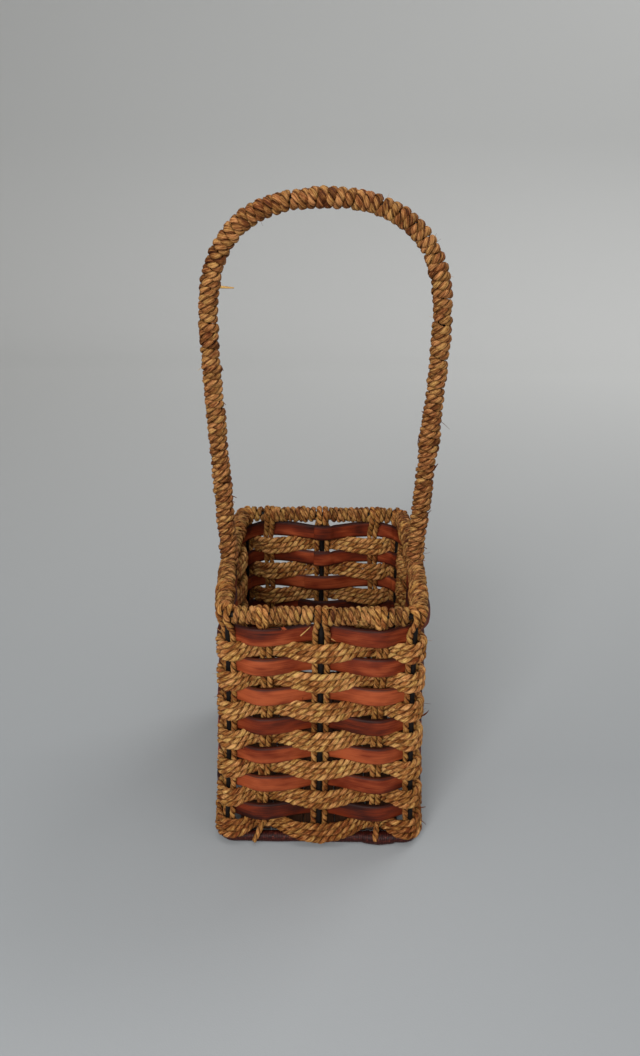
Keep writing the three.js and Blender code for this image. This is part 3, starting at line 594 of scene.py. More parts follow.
def strip(row):
    low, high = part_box(f"strip_{row + 1}")
    middle = (low.z + high.z) / 2 / MM
    lap = rng.uniform(*LAPS)
    station = BACK_MIDDLE + np.linspace(-lap, STATIONS + lap, STRIP_SECTIONS)
    near, bow = near_post(station), np.floor(station / 2).astype(int) % BOWS
    skew = rng.normal(0, BOW_SKEW, BOWS)[bow] * np.sin(np.pi * near) * np.sign(station - 2 * np.round(station / 2))
    bowed = (0.5 - 0.5 * np.cos(np.pi * np.clip(near + skew, 0, 1))) ** BOW_FULLNESS
    reach = STRIP_OUT + rng.normal(0, BOW_REACH, BOWS)[bow] * bowed
    if row == 0:
        reach = reach + ROW_ONE_BULGE * (bow == RIGHT_FRONT_BOW)
    offset = -STRIP_IN + (reach + STRIP_IN) * bowed - BOW_THICKER * bowed**2 * STRIP_THICKNESS / 2
    ends = (station - BACK_MIDDLE, BACK_MIDDLE + STATIONS - station)
    first, last = (smooth((LAP_START * lap - past) / (LAP_RAMP * lap)) for past in ends)
    offset = offset - (SCARF * STRIP_THICKNESS + LAP_GAP) * last  # the last end lies inside the first
    thin = 1 - (1 - SCARF) * (last + first)
    height = middle + STRIP_LIFT + BOW_LIFT * bowed + wander(STRIP_SECTIONS, *STRIP_DRIFT)
    tilt = (rng.normal(0.0, BOW_TILT, BOWS)[bow] * bowed)[:, None]
    outwards, upwards, edge_stain_and_shade = strip_section().T
    tall = upwards * (POST_HEIGHT_SHARE + BOW_WIDENING * bowed**2)[:, None]
    thick = outwards * (thin * (1 + BOW_THICKER * bowed**2))[:, None]
    out = offset[:, None] + thick * np.cos(tilt) - tall * np.sin(tilt)
    up = height[:, None] + tall * np.cos(tilt) + thick * np.sin(tilt)
    spine, _ = at_station(station, 0, middle)
    _, normal = at_station(station[:, None], 0, up)
    points = spine[:, None] + normal * out[..., None]
    points[..., 2] = up
    fibre = grid(lengths(spine)[:, None] + STRIP_GRAIN * row, upwards, outwards)
    right = np.clip((station - STATIONS - FRONT_MIDDLE + TONE_BLEND) / (2 * TONE_BLEND), 0, 1)
    tone, slant = (a + (b - a) * right for a, b in (STRIP_TONES[row], STRIP_SLANTS[row]))
    tone = (tone + wander(STRIP_SECTIONS, *TONE_DRIFT))[:, None]
    slant = (slant + wander(STRIP_SECTIONS, *SLANT_DRIFT))[:, None]
    tone = tone - slant * (upwards / (STRIP_HEIGHT / 2))
    # painted shade: the inner faces darker, as inside the basket
    tone = tone - (INNER_PAINTED_SHADE if row else FIRST_ROW_INNER_PAINTED_SHADE) * (outwards < 0)
    strands = Strands()
    strands.add(points, fibre, tone, edge_stain_and_shade)
    strands.piece(f"wood_strip_{row + 1}", WOOD, "stained_wood", f"strip_{row + 1}")


# Rope rows

ROPE_OUT, ROPE_IN = 4.25, 4.1
ROPE_SAMPLES = 5200
ROPE_STEP = 0.9  # between rings
ROPE_TONE = 0.06
LOW_ROWS_PAINTED_SHADE = (-0.16, -0.34)  # painted shade: darker tones of the two lowest rows
ROPE_OUT_DRIFT, ROPE_UP_DRIFT = (90, 0.14), (110, 0.16)
CAD_ROPE_HALF_HEIGHT = 1.55
ROW_PINCH = 0.06  # share by which rounds lie closer between a post and a quarter
CLIMB = 0.8  # of a station, in which a rope climbs to its next round
END_REACH, END_TUCK = 0.6, 1.6  # stations that each end goes on, and its way inwards there
LOWEST_PITCH, SAG_PITCH = 3.9, 4.6  # of the lowest row, at the quarters and over the base ring
SAG_OUT, SAG_HEIGHT = 5.2, 5.0
SAG_LEAN = 0.35  # further in than the round below
SAG_PATH = (  # of the lowest round: place, 0 at a post and 1 at a quarter, offset and height
    (0.0, SAG_OUT, SAG_HEIGHT), (0.2, SAG_OUT - 0.3, SAG_HEIGHT + 1.1), (0.38, 4.4, 7.4), (0.55, 2.2, 8.9))
INSIDE_PATH = ((0.8, -3.4, -0.3), (1.0, -ROPE_IN, 0.0))  # further on, with heights from its inner end
CORNER_LIFT, CORNER_TUCK = 1.5, 0.9  # of the lowest row, at the corners


def rounds_at(place):
    """Which round a rope is in, counted from the back left corner, with smooth climbs."""
    climb = smooth((np.mod(place, STATIONS) - (STATIONS - 1)) / CLIMB)
    return np.clip(np.floor(place / STATIONS) + climb, 0, ROUNDS - 1)


def tucked(place):
    """How far inwards each end of a rope has gone, behind the round that climbs past it."""
    return END_TUCK * smooth(np.maximum(-place, place - ROUNDS * STATIONS + 1) / END_REACH)


def even_row(place, low, high):
    """Offset and height of a row with its rounds between the low and the high level."""
    near = near_post(place)
    pitch = (high - low) / (ROUNDS - 1) * ROW_LOOSE * (1 - ROW_PINCH * np.sin(np.pi * near) ** 2)
    offset = (ROPE_OUT - ROPE_IN) / 2 + (ROPE_OUT + ROPE_IN) / 2 * np.cos(np.pi * near)
    return offset, (low + high) / 2 + pitch * (rounds_at(place) - (ROUNDS - 1) / 2)


def sagging_row(place, top):
    """The same for the lowest row, which sags over the base ring and is topped by that level inside."""
    near, rounds = near_post(place), rounds_at(place)
    over_ring = np.clip(np.cos(np.pi * near), 0, 1)
    inside = top - (ROUNDS - 1) * LOWEST_PITCH
    curve = through([*SAG_PATH, *((at, out, inside + z) for at, out, z in INSIDE_PATH)], 12)
    pitch = LOWEST_PITCH + (SAG_PITCH - LOWEST_PITCH) * over_ring
    corner = smooth(1 - np.abs(place - 4 * np.round(place / 4)))
    offset, height = sampled(curve[:, 1:], curve[:, 0], near).T
    offset = offset - CORNER_TUCK * corner - SAG_LEAN * rounds * over_ring
    return offset, height + pitch * rounds + CORNER_LIFT * corner


def rope_row(row, rows):
    low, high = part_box(f"rope_row_{row + 1}")
    low, high = low.z / MM + CAD_ROPE_HALF_HEIGHT, high.z / MM - CAD_ROPE_HALF_HEIGHT
    place = np.linspace(-END_REACH, ROUNDS * STATIONS - 1 + END_REACH, ROPE_SAMPLES)
    offset, height = even_row(place, low, high) if row < rows - 1 else sagging_row(place, high)
    offset = offset + wander(ROPE_SAMPLES, *ROPE_OUT_DRIFT) - tucked(place)
    height = height + wander(ROPE_SAMPLES, *ROPE_UP_DRIFT)
    points, normal = at_station(BACK_LEFT + place, offset, height)
    points, normal = evenly(points, ROPE_STEP, normal)
    # the two lowest rows darker: painted shade
    tone = LOW_ROWS_PAINTED_SHADE[row - rows] if row >= rows - len(LOW_ROWS_PAINTED_SHADE) else ROPE_TONE
    strands = Strands()
    two_ply(strands, points, unit(normal), ROW_ROPE, ROW_LAY, tone=tone)
    strands.piece(f"rope_{row + 1}", ROPE, "seagrass_rope", f"rope_row_{row + 1}")


# Stakes

STAKE_NAMES = (
    "front_left_corner front_left front_middle front_right front_right_corner right_front right_middle right_back "
    "back_right_corner back_right back_middle back_left back_left_corner left_back left_middle left_front").split()
SIDE_MIDDLES = (6, 14)
STAKE_STEPS = 10  # of a stake's curve, between each two of its points
OVER_RIM = WIRE_RADIUS + STAKE_ROPE + 0.5  # from the rim wire to a rope over it
OVER_RIM_SHARE = 0.6  # how close a post's two ropes come there, over its wire
FOLD_DROP = 5.2  # of the lowest point of a fold, below the rim wire
UNDER_HANDLE = 7.8  # from the rim wire down to a fold below the handle's foot
HEAD_THICKER = 0.08  # share by which a rope gets thicker between these levels
HEAD_LEVELS = (RIM_HEIGHT - 8, RIM_HEIGHT - 2)
FOOT_REACH = BASE_RING_RADIUS + 0.2 + 0.75 * STAKE_ROPE
PLAIN_FOOT = (0.0, 2.6)
FOOT_ENDS = {1: (-7.6, 3.4), 3: (-2.6, 5.0), 5: (1.5, 2.6), 15: (-1.0, 3.0)}  # shift sideways and lowest point
FOOT_LENGTH = 14.0  # over which a foot is shifted
FOOT_TAPER, TAPER_LENGTH = 0.35, 8.0  # share by which a foot is thinner, and over what length
INNER_FOOT = [(-0.6, -0.6, 13.5)]  # where a folded stake's inner leg ends
OUTER_FOOT_POINTS = 5  # that the inner leg doesn't have
STAKE_LEANS = {1: (0.0, 2.5, 1.6), 3: (-0.8, 0.2, 2.2)}  # sideways at the foot, half way and below the rim
LEAN_SPREAD = 0.6  # of the leans of the other folded stakes
LEAN_LEVELS = (20.0, 100.0, 145.0, 156.0)
WALL_LEVELS = (50, 80, 110, 135)


def stake_foot(station):
    """Lateral share, offset and height of a leg's lowest points."""
    if station % 2 == 0:
        return [(1, 0, BASE_HEIGHT + 3.9), (1, 0, 20)]
    _, low = FOOT_ENDS.get(station, PLAIN_FOOT)
    heights = [(1, low), (1, low + 2), (0.85, 6.8), (0.45, 9.6)]
    return [(1, FOOT_REACH * reach, z) for reach, z in heights] + [(1, 0.4, 12.8), (1, 0, 18)]


def stake_head(station):
    """The same for the way over the rim, to the middle of the fold."""
    if station in SIDE_MIDDLES:
        top = RIM_HEIGHT - UNDER_HANDLE
        return [(1, 0.2, top - 5), (0.95, 1.4, top - 1), (0.6, 3.0, top + 0.6), (0, 3.7, top + 1)]
    side, share = (-1, 1.0) if station % 2 else (1, OVER_RIM_SHARE)
    below = RIM_HEIGHT - OVER_RIM
    head = [(1, side * 0.5, below - 7.5), (0.5 + share / 2, side * 2.6, below - 2.2)]
    head.append((share, side * OVER_RIM * 0.93, RIM_HEIGHT - OVER_RIM * 0.55))
    for angle in np.radians(range(0, 181, 30)):
        head.append((share, side * OVER_RIM * math.cos(angle), RIM_HEIGHT + OVER_RIM * math.sin(angle)))
    return head + [
        (share, -side * OVER_RIM, RIM_HEIGHT - 1.8),
        (share * 0.8, -side * OVER_RIM, RIM_HEIGHT - FOLD_DROP + 1.1),
        (0, -side * (OVER_RIM - 0.3), RIM_HEIGHT - FOLD_DROP),
    ]


def stake(station):
    folded = station % 2
    spacing = STAKE_PAIR if folded else STAKE_STRADDLE
    half = stake_foot(station) + [(1, 0, z) for z in WALL_LEVELS] + stake_head(station)
    other = [(-share, offset, z) for share, offset, z in half[-2::-1]]
    if folded:
        other = other[:-OUTER_FOOT_POINTS] + INNER_FOOT
    share, offset, z = through(half + other, STAKE_STEPS).T
    shift, _ = FOOT_ENDS.get(station, PLAIN_FOOT)
    leans = STAKE_LEANS.get(station, tuple(rng.normal(0, LEAN_SPREAD, 3) * folded))
    aside = shift * np.clip(1 - z / FOOT_LENGTH, 0, 1) ** 0.8 * (np.arange(len(z)) < len(z) / 2)
    aside = aside + np.interp(z, LEAN_LEVELS, (*leans, 0.0))
    points, _ = at_station(station, offset, z, share * spacing + aside)
    points, = evenly(points, ROPE_STEP)
    along, _ = at_station(station, 0.0, z[0], np.array([-1.0, 1.0]))
    sideways = np.broadcast_to(unit(along[1] - along[0]), points.shape)
    radius = STAKE_ROPE * (1 + HEAD_THICKER * np.interp(points[:, 2], HEAD_LEVELS, (0, 1)))
    radius = radius * (1 - FOOT_TAPER * np.clip(1 - points[:, 2] / TAPER_LENGTH, 0, 1) * folded)
    strands = Strands()
    two_ply(strands, points, sideways, radius, STAKE_LAY)
    name = STAKE_NAMES[station]
    strands.piece(f"stake_rope_{name}", STAKE, "seagrass_rope", f"stake_{name}")


# Windings

TURN_STEPS = 22
LONG_STEP = 1.35  # in widths: a longer step is taken in one stretch under the wire, out of sight
LONG_STEP_FROM, LONG_STEP_SHARE = 0.55, 0.4  # of a turn, where that stretch begins and how long it is
CORD_RUN_DRIFT = (9, 0.06)  # in widths, along the wire
CORD_OUT_DRIFT = (13, 0.24)
CORD_STEP = 0.95  # between rings
CORD_LOOSE = 0.07
TURN_SPREAD = 0.2  # of the turns' places along the wire
TUCK = math.radians(80)  # over which a cord's ends go down under the next turn
TUCK_DEPTH = 0.45  # of the cord's thickness


def wind(strands, core, wire, turns, width, cord, start_angle, tone=0.0, swell=None):
    """A cord wound on a wire: turns lists where each turn begins along it, and the last ends."""
    thickness, lay, pressed = cord
    run, angle = [], []
    for i, (a, b) in enumerate(zip(turns[:-1], turns[1:])):
        t = np.arange(TURN_STEPS) / TURN_STEPS
        far = (b - a) > LONG_STEP * width
        share = smooth((t - LONG_STEP_FROM) / LONG_STEP_SHARE) if far else t
        run.append(a + (b - a) * share)
        angle.append(start_angle + TAU * (i + t))
    run = np.concatenate(run + [[turns[-1]]])
    angle = np.concatenate(angle + [[start_angle + TAU * (len(turns) - 1)]])
    n = len(run)
    step, amount = CORD_RUN_DRIFT
    run = run + wander(n, step, amount * width)
    point, out, across = core(run)
    radial = out * np.cos(angle)[:, None] + across * np.sin(angle)[:, None]
    radius = wire + thickness / 2 + wander(n, *CORD_OUT_DRIFT)
    if swell is not None:
        place, reach, height = swell
        radius = radius + height * np.clip(1 - ((run - place) / reach) ** 2, 0, 1)
    turned = angle - start_angle
    tuck = np.clip(1 - np.minimum(turned, turned[-1] - turned) / TUCK, 0, 1)
    radius = radius - TUCK_DEPTH * thickness * tuck**2
    path, radial = evenly(point + radial * radius[:, None], CORD_STEP, radial)
    half = pressed * width / 2
    two_ply(strands, path, unit(radial), half, lay, flat=thickness / 2 / half, tone=tone, loose=CORD_LOOSE)


def turns_between(low, high, width):
    """Where turns of about that width begin and the last ends, a little off between these two."""
    turns = np.linspace(low, high, max(int(round((high - low) / width)), 1) + 1)
    turns[1:-1] += rng.normal(0, TURN_SPREAD, len(turns) - 2)
    return [*turns]


SIDE_NAMES = ("front", "right", "back", "left")
RIM_START = math.radians(-120)
RIM_TONE = 0.1
PRESS_ON_POST, PRESS_ON_HANDLE, PRESS_ON_PAIR = 1.3, 0.6, 1.0  # by the turns next to these


def on_rim(side):
    def core(run):
        point, out = at_station(4 * side, 0, RIM_HEIGHT, run)
        return point, out, np.broadcast_to(UP, point.shape)
    return core


def rim_winding(side, half):
    """From a corner post to a middle post or back, with room for the stakes' ropes."""
    length = float(side_length(np.array(side), RIM_HEIGHT))
    low, high = length * half / 2, length * (half + 1) / 2
    quarter = length * abs(half - STAKE_SHARES[side])
    at_post = OVER_RIM_SHARE * STAKE_STRADDLE + STAKE_ROPE + RIM_CORD_WIDTH / 2 - PRESS_ON_POST
    at_handle = HANDLE_WIRE_RADIUS + HANDLE_CORD_THICKNESS + RIM_CORD_WIDTH / 2 - PRESS_ON_HANDLE
    at_pair = STAKE_PAIR + STAKE_ROPE + RIM_CORD_WIDTH / 2 - PRESS_ON_PAIR
    at_middle = at_handle if side % 2 else at_post
    at_low, at_high = (at_middle, at_post) if half else (at_post, at_middle)
    turns = turns_between(low + at_low, quarter - at_pair, RIM_CORD_WIDTH)
    turns += turns_between(quarter + at_pair, high - at_high, RIM_CORD_WIDTH)
    strands = Strands()
    wind(strands, on_rim(side), WIRE_RADIUS, turns, RIM_CORD_WIDTH, RIM_CORD, RIM_START, RIM_TONE)
    name = f"{SIDE_NAMES[side]}_{half + 1}"
    strands.piece(f"rim_cord_{name}", RIM, "rim_cord", f"rim_winding_{name}")


# Handle

FOOT_WRAP = 8.5  # that the winding goes on below the wire's end
FOOT_GAP = 0.3  # from the rim wire to the end of the handle's
CURVE_POINTS = 400


def bezier(a, b, c, d):
    t = np.linspace(0, 1, CURVE_POINTS)[:, None]
    a, b, c, d = map(np.array, (a, b, c, d))
    return (1 - t) ** 3 * a + 3 * (1 - t) ** 2 * t * b + 3 * (1 - t) * t**2 * c + t**3 * d


def hoop_curve():
    lean = KNEE_OUT / KNEE_RISE
    foot = np.array([RIM_WIDTH / 2 + SIDE_BOW, RIM_HEIGHT + WIRE_RADIUS + FOOT_GAP + HANDLE_WIRE_RADIUS * lean])
    knee = foot + (KNEE_OUT, KNEE_RISE)
    shoulder = np.array([HANDLE_HALF_WIDTH, HANDLE_SHOULDER])
    above = shoulder + (0, ARCH_FULLNESS * (HANDLE_TOP - HANDLE_SHOULDER))
    arch = bezier((0, HANDLE_TOP), (ARCH_FULLNESS * HANDLE_HALF_WIDTH, HANDLE_TOP), above, shoulder)
    leg = bezier(shoulder, shoulder - (0, SHOULDER_DROP), knee, foot)
    end = foot - (FOOT_WRAP * lean, FOOT_WRAP)
    right = np.vstack([arch[:-1], leg, end])
    x, z = np.vstack([right[::-1] * (-1, 1), right[1:]]).T
    return grid(x, 0.0, z)


HOOP = hoop_curve()
HOOP_RUN = lengths(HOOP)
HANDLE_LENGTHS = 4
HANDLE_START = math.radians(130)
HANDLE_OVERLAP = 0.1  # of a turn, by which a length goes over the next one
SPLICES = (  # place, half length and height of the swell on a length
    (98.0, 10.0, 0.4), None, None, (HOOP_RUN[-1] - 88.0, 14.0, 0.7))
HOOP_STEP = 3.0  # between the wire's rings


def on_hoop(run):
    point, ahead, behind = (sampled(HOOP, HOOP_RUN, run + step) for step in (0, 1, -1))
    across = np.broadcast_to(BACK, point.shape)
    return point, np.cross(unit(ahead - behind), across), across


def handle_winding(index):
    share = HOOP_RUN[-1] / HANDLE_LENGTHS
    width = HANDLE_CORD_WIDTHS[index]
    turns = turns_between(share * index, share * (index + 1) + HANDLE_OVERLAP * width, width)
    strands = Strands()
    wind(strands, on_hoop, HANDLE_WIRE_RADIUS, turns, width, HANDLE_CORD, HANDLE_START, swell=SPLICES[index])
    strands.piece(f"handle_cord_{index + 1}", HANDLE, "handle_cord", f"handle_winding_{index + 1}")


def handle_wire():
    strands = Strands()
    points, = evenly(HOOP[1:-1], HOOP_STEP)
    tube(strands, points, BACK, HANDLE_WIRE_RADIUS, WIRE_SIDES)
    strands.piece("hoop_wire", IRON, "black_iron", "handle_wire")


# Base winding: very fine cord round the base ring

BASE_SIDES = 20
TURN_RINGS = 6
BASE_RIDGE = 0.42  # that each turn stands up
RIDGE_FULLNESS = 0.7  # power: less is rounder
BASE_DRIFT = (60, 0.03)
TURN_PATTERN = (0.77, 0.31)  # from one turn's fibres to the next one's
KNOT_PLACE, KNOT_HALF_LENGTH, KNOT_SWELL = 37.5, 10.0, 0.9  # at the front, over the cord's ends


def base_winding():
    loop, out = ring_path(BASE_HEIGHT, BASE_CORD_PITCH / TURN_RINGS)
    n = len(loop)
    angle = TAU * np.arange(BASE_SIDES) / BASE_SIDES
    along = (np.arange(n) * round(n / TURN_RINGS) / n)[:, None] - angle / TAU
    turn, wave = np.floor(along), np.mod(along, 1.0)
    ridge = np.sin(np.pi * wave) ** RIDGE_FULLNESS
    uneven = 1 + wander(n, *BASE_DRIFT)[:, None]
    knot = np.clip(1 - np.abs(loop[:, 0] - KNOT_PLACE) / KNOT_HALF_LENGTH, 0, 1) ** 0.5
    swell = (KNOT_SWELL * knot * (loop[:, 1] < -RIM_DEPTH / 2))[:, None]
    radius = (BASE_RING_RADIUS - BASE_RIDGE) * uneven + BASE_RIDGE * ridge + swell
    rings = (loop + out * swell)[:, None] + fan(out, UP, angle) * radius[..., None]
    rings[..., 2] = np.maximum(rings[..., 2], 0.0)
    across, down = TURN_PATTERN
    strands = Strands()
    # 1 - ridge marks the dips between turns, for painted shade there
    strands.add(rings, grid(angle * BASE_RING_RADIUS, turn * across, turn * down), 0.0, 1 - ridge, closed=True)
    strands.piece("base_cord", MAROON, "maroon_cord", "base_winding")


# Floor slats

SLAT_WIDER = 1.7  # than the CAD's on each side
SLAT_SECTIONS, SLAT_SIDES = 60, 28
SLAT_SQUARENESS = (0.28, 0.45)  # powers across and up: less gives sharper edges
SLAT_EDGE = (1.2, 0.85)
SLAT_DRIFT = (20, 0.12)
SLAT_GRAIN = 300  # from one slat's grain to the next one's
SLAT_TONE, SLAT_TONES = 0.2, 0.1  # middle tone, and its spread


def floor_slat(index):
    name = f"floor_slat_{index + 1}"
    low, high = (np.array(corner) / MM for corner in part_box(name))
    middle, half = (low + high) / 2, (high - low) / 2
    half[0] += SLAT_WIDER
    y = np.linspace(-half[1], half[1], SLAT_SECTIONS)[:, None]
    bend = wander(SLAT_SECTIONS, *SLAT_DRIFT)[:, None]
    angle = TAU * (np.arange(SLAT_SIDES) + 0.5) / SLAT_SIDES
    turned = zip((half[0], half[2]), (np.cos(angle), np.sin(angle)), SLAT_SQUARENESS)
    x, z = (size * np.sign(c) * np.abs(c) ** power for size, c, power in turned)
    # the slats' sides darker: stain and painted shade
    edge_stain_and_shade = np.clip(np.abs(np.cos(angle)) * SLAT_EDGE[0] - SLAT_EDGE[1], 0, 1)
    rings = grid(middle[0] + x + bend, y + middle[1], middle[2] + z)
    strands = Strands()
    strands.add(rings, grid(y + SLAT_GRAIN * index, x, z), SLAT_TONE + SLAT_TONES * rng.normal(), edge_stain_and_shade)
    strands.piece(f"slat_{index + 1}", SLAT, "floor_wood", name)


# Loose fibres: start, way, length, thickness, bend, and how light each is

STRAWS = (
    ((-11.6, -79, 152.8), (5.8, 0.4, 5.6), 8, 0.42, 0.05, 0.9),
    ((5.4, -76.6, 149.6), (2.4, -0.5, -1), 3, 0.4, 0, 0.8),
    ((20.5, -78.2, 160.2), (7, 0.7, -2.6), 8.5, 0.24, -0.1, 0.5),
    ((2, -72.5, 166.6), (6, 1, 1.2), 7.5, 0.26, 0.5, 0.7),
    ((2.2, -81.4, 95.8), (8.4, -0.2, 8.4), 12, 0.36, 0.06, 0.8),
    ((4, -81.6, 96.6), (8, 0, 8.2), 10.5, 0.3, -0.06, 0.4),
    ((59.4, -71, 93.6), (4.4, -0.4, 3.8), 6, 0.36, -0.1, -1.6),
    ((60.6, -70.6, 93), (4, -0.4, 2.4), 4.2, 0.28, 0.3, -1.5),
    ((-60.6, -71, 88.8), (-3.4, -0.4, -1.6), 3.4, 0.3, 0.1, -1.5),
    ((63, -62, 16.6), (4.4, -0.4, 1.2), 4.6, 0.42, 0.15, -0.9),
    ((63.6, -62, 7), (4, -0.4, -0.6), 4.6, 0.3, 0.5, -1.5),
    ((-32.4, -78.6, 156.4), (9, -0.6, 1.8), 9.4, 0.2, -0.12, -1.2),
)
HANDLE_STRAWS = (  # leg, height, outer or inner side, and the rest as above
    (-1, 328, -1, (1, -0.03, -0.05), 7.6, 0.85, 0, 0.7),
    (1, 252, 1, (7, -1, -4.6), 7, 0.17, 0.12, -1.6),
    (1, 243, -1, (-1.2, -0.4, -4), 5, 0.34, 0.3, -1.6),
    (1, 257, -1, (-2.6, -0.6, 1.4), 2, 0.45, 0.2, -1.7),
    (1, 223, 1, (1.4, -0.4, 3.2), 3.2, 0.45, 0.2, -1.7),
    (1, 193, 1, (1.4, -0.6, 2.6), 2.8, 0.34, 0.2, -1.6),
    (1, 170, 1, (3.8, -0.8, -1.6), 2.4, 0.4, 0.1, -1.6),
    (1, 166, 1, (4, -1, -0.6), 4.6, 0.16, 0.6, -1.2),
    (-1, 203, -1, (3.8, -0.6, -1.2), 2.8, 0.32, 0.15, -1.6),
    (-1, 200, -1, (3.2, -0.6, -2.8), 2.2, 0.28, 0.15, -1.6),
    (-1, 283, -1, (1.6, -0.6, -2.4), 2.4, 0.28, 0.15, -1.4),
    (-1, 262, -1, (1.6, -0.6, -2), 2, 0.26, 0.15, -1.2),
)
RED_TUFTS = (  # middle, number of fibres, their length and thickness
    ((-21.4, -77.6, 156.4), 14, 1.7, 0.34),
    ((65.6, -1.0, 161.0), 5, 1.8, 0.3),
    ((-60.4, -72.6, 123.2), 4, 2.0, 0.28),
)
LEG_FRONT = -0.6  # of a leg's middle
FIBRE_SIDES, FIBRE_RINGS, FIBRE_TAPER = 6, 9, 0.55
STRAY_FIBRES, STRAYS_ON_HANDLE = 90, 0.4  # and the share of them on the handle
STRAY_END = 12.0  # of the handle, where none begins
STRAY_ASIDE, STRAY_LEVELS = 0.5, 3.5  # from a post, and of height in a row
LANDING_REACH = 700.0
ABOVE = 15.0  # from where a fibre comes down on a cord
OUTSIDE = (1.2, 1.2, 1)  # times a place, for one outside the basket


def landed(start, way, missed):
    """Where a line first meets the basket, or else the place given for a miss."""
    scene, graph = bpy.context.scene, bpy.context.evaluated_depsgraph_get()
    hit, place, *_ = scene.ray_cast(graph, Vector(start) * MM, Vector(way), distance=LANDING_REACH * MM)
    return np.array(place) / MM if hit else missed


def on_sight(eye, place):
    """The basket's surface in line with a place seen from the front, or else straight inwards from it."""
    for start, way in ((eye, place - eye), (place * OUTSIDE, place * (-1, -1, 0))):
        found = landed(start, way, None)
        if found is not None and np.linalg.norm(found - place) < ABOVE:
            return found
    return place


def fibre(strands, start, way, length, radius, bend, tone):
    way = unit(np.array(way, float))
    aside = unit(np.cross(way, unit(rng.normal(0, 1, 3))))
    t = np.linspace(0, 1, FIBRE_RINGS)[:, None]
    points = np.array(start, float) + length * (way * t + bend * aside * t**2)
    tube(strands, points, aside + 0.01, radius * (1 - FIBRE_TAPER * t[:, 0]), FIBRE_SIDES, tone)


def stray_place():
    """A random place on the handle or on a row of rope, and the way out of it."""
    if rng.uniform() < STRAYS_ON_HANDLE:
        point, out, across = on_hoop(np.array([rng.uniform(STRAY_END, HOOP_RUN[-1] - STRAY_END)]))
        angle = rng.uniform(0, TAU)
        out = (out * math.cos(angle) + across * math.sin(angle))[0]
        return landed(point[0] + out * ABOVE, -out, point[0]), out + rng.normal(0, 1.2, 3)
    station = 2 * rng.integers(0, STATIONS // 2) + rng.uniform(-STRAY_ASIDE, STRAY_ASIDE)
    point, out = at_station(station, ABOVE, rng.choice(ROPE_LEVELS) + rng.normal(0, STRAY_LEVELS))
    return landed(point, -out, point - ABOVE * out), 0.6 * out + rng.normal(0, 1.0, 3)


def loose_fibres():
    strands = Strands()
    bpy.context.view_layer.update()
    eye = np.array(CAMERA_PLACE) / MM
    for place, *rest in STRAWS:
        fibre(strands, on_sight(eye, np.array(place)), *rest)
    leg = HOOP[len(HOOP) // 2:][::-1]
    for side, height, outer, *rest in HANDLE_STRAWS:
        inner = np.array([side * np.interp(height, leg[:, 2], leg[:, 0]), LEG_FRONT, height])
        out = np.array([side * outer, 0.0, 0.0])
        fibre(strands, landed(inner + ABOVE * out, -out, inner), *rest)
    for _ in range(STRAY_FIBRES):
        start, way = stray_place()
        size = (rng.uniform(2.0, 5.5), rng.uniform(0.09, 0.16), rng.normal(0, 0.3), rng.choice([-1.2, 0.5, 0.9]))
        fibre(strands, start, way, *size)
    strands.piece("straw_fibres", ROPE, "seagrass_rope")
    strands = Strands()
    for place, count, length, radius in RED_TUFTS:
        middle = on_sight(eye, np.array(place))
        for _ in range(count):
            start = middle + rng.normal(0, 0.22 * length, 3) * (1.2, 0.3, 0.6)
            way = rng.normal(0, 1, 3) * (1.4, 0.3, 0.8)
            size = (length * rng.uniform(0.4, 1), radius, rng.normal(0, 0.6), rng.uniform(0.4, 1.1))
            fibre(strands, start, way, *size)
    strands.piece("stained_fibres", WOOD, "stained_wood")


# Stage, light and camera, in metres

FLOOR_REACH, WALL_DISTANCE, WALL_HEIGHT = 3.0, 1.4, 3.0
WALL_BEND, BEND_STEPS = 0.35, 14  # radius of the floor's bend into the wall
# floor and wall are one cloth: the floor's darker colour is painted shade
FLOOR_COLOUR, WALL_COLOUR = (149, 152, 154), (207, 208, 207)
WORLD_COLOUR, WORLD_STRENGTH = (1.0, 0.985, 0.96, 1), 0.26
LAMPS = (  # name, energy, place, target and size
    ("key", 11.0, (-0.26, -0.95, 0.66), (0, 0, 0.18), 0.5),
    ("back", 11.0, (1.1, 0.95, 1.3), (0, 0, 0.15), 0.9),
    ("top", 3.4, (0.05, -0.2, 1.1), (0, 0, 0.15), 0.7),
)
CAMERA_PLACE = (-0.0015, -0.525, 0.427)
CAMERA_PITCH, CAMERA_ROLL = math.radians(64.98), math.radians(0.7)
CAMERA_LENS, SENSOR_WIDTH = 32.0, 36.0
CLIP = (0.01, 20)


def lamp(name, energy, location, target, size):
    data = bpy.data.lights.new(name, "AREA")
    data.energy = energy
    data.shape = "SQUARE"
    data.size = size
    made = linked(name, data)
    made.location = location
    made.rotation_euler = (Vector(target) - Vector(location)).to_track_quat("-Z", "Y").to_euler()


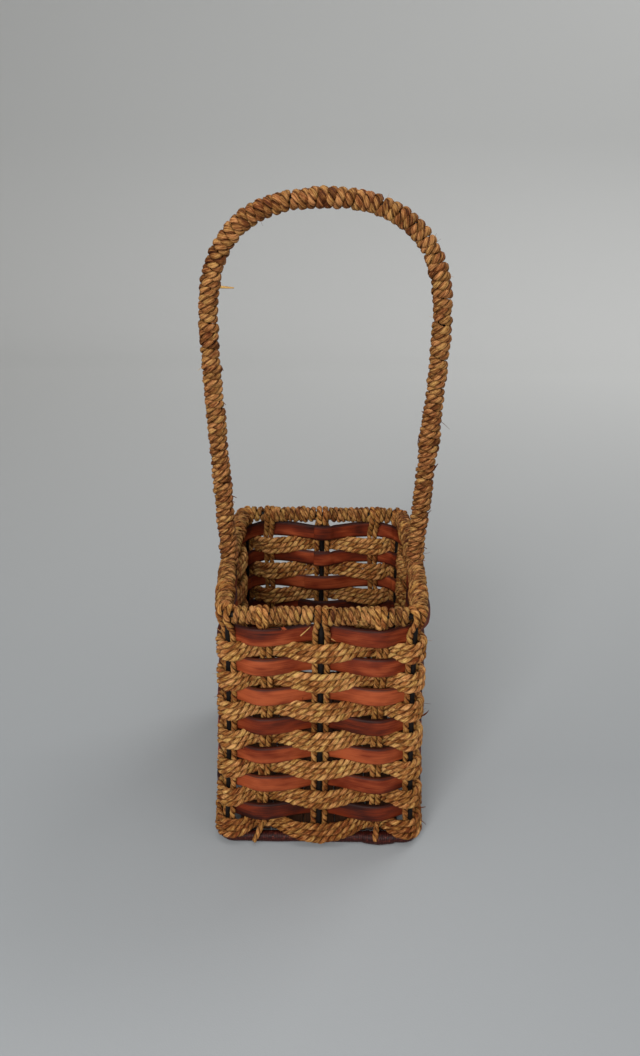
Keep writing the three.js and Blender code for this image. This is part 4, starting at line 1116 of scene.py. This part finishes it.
def studio():
    turned = np.linspace(-math.pi / 2, 0, BEND_STEPS)
    y = [-FLOOR_REACH, *(WALL_DISTANCE - WALL_BEND + WALL_BEND * np.cos(turned)), WALL_DISTANCE]
    z = [0.0, *(WALL_BEND + WALL_BEND * np.sin(turned)), WALL_HEIGHT]
    vertices = [(x, *point) for x in (-FLOOR_REACH, FLOOR_REACH) for point in zip(y, z)]
    n = len(y)
    faces = [(i, i + n, i + n + 1, i + 1) for i in range(n - 1)]
    mesh = bpy.data.meshes.new("floor")
    mesh.from_pydata(vertices, [], faces)
    mesh.polygons.foreach_set("use_smooth", np.ones(len(faces), bool))
    mesh.materials.append(plain_stage("pale_floor", FLOOR_COLOUR, WALL_COLOUR))
    floor = linked("floor", mesh)
    world = bpy.data.worlds.new("soft_room")
    world.use_nodes = True
    light = world.node_tree.nodes["Background"].inputs
    light["Color"].default_value, light["Strength"].default_value = WORLD_COLOUR, WORLD_STRENGTH
    bpy.context.scene.world = world
    for values in LAMPS:
        lamp(*values)
    bpy.context.scene.view_settings.view_transform = "Standard"


def camera():
    data = bpy.data.cameras.new("camera")
    data.lens = CAMERA_LENS
    data.sensor_width = SENSOR_WIDTH
    data.clip_start, data.clip_end = CLIP
    made = linked("camera", data)
    made.location = CAMERA_PLACE
    made.rotation_euler = (Matrix.Rotation(CAMERA_PITCH, 3, "X") @ Matrix.Rotation(CAMERA_ROLL, 3, "Z")).to_euler()
    bpy.context.scene.camera = made


def count(prefix):
    """How many of the CAD's nodes have names that begin so."""
    return sum(name.startswith(prefix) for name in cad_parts)


ROW_COUNT = count("strip_")
ROPE_LEVELS = [sum(corner.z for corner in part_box(f"rope_row_{i + 1}")) / 2 / MM for i in range(ROW_COUNT)]
camera()
studio()
wire_frame()
for i in range(ROW_COUNT):
    strip(i)
    rope_row(i, ROW_COUNT)
for i in range(STATIONS):
    stake(i)
for i in range(len(SIDE_NAMES)):
    rim_winding(i, 0)
    rim_winding(i, 1)
handle_wire()
for i in range(HANDLE_LENGTHS):
    handle_winding(i)
base_winding()
for i in range(count("floor_slat_")):
    floor_slat(i)
loose_fibres()
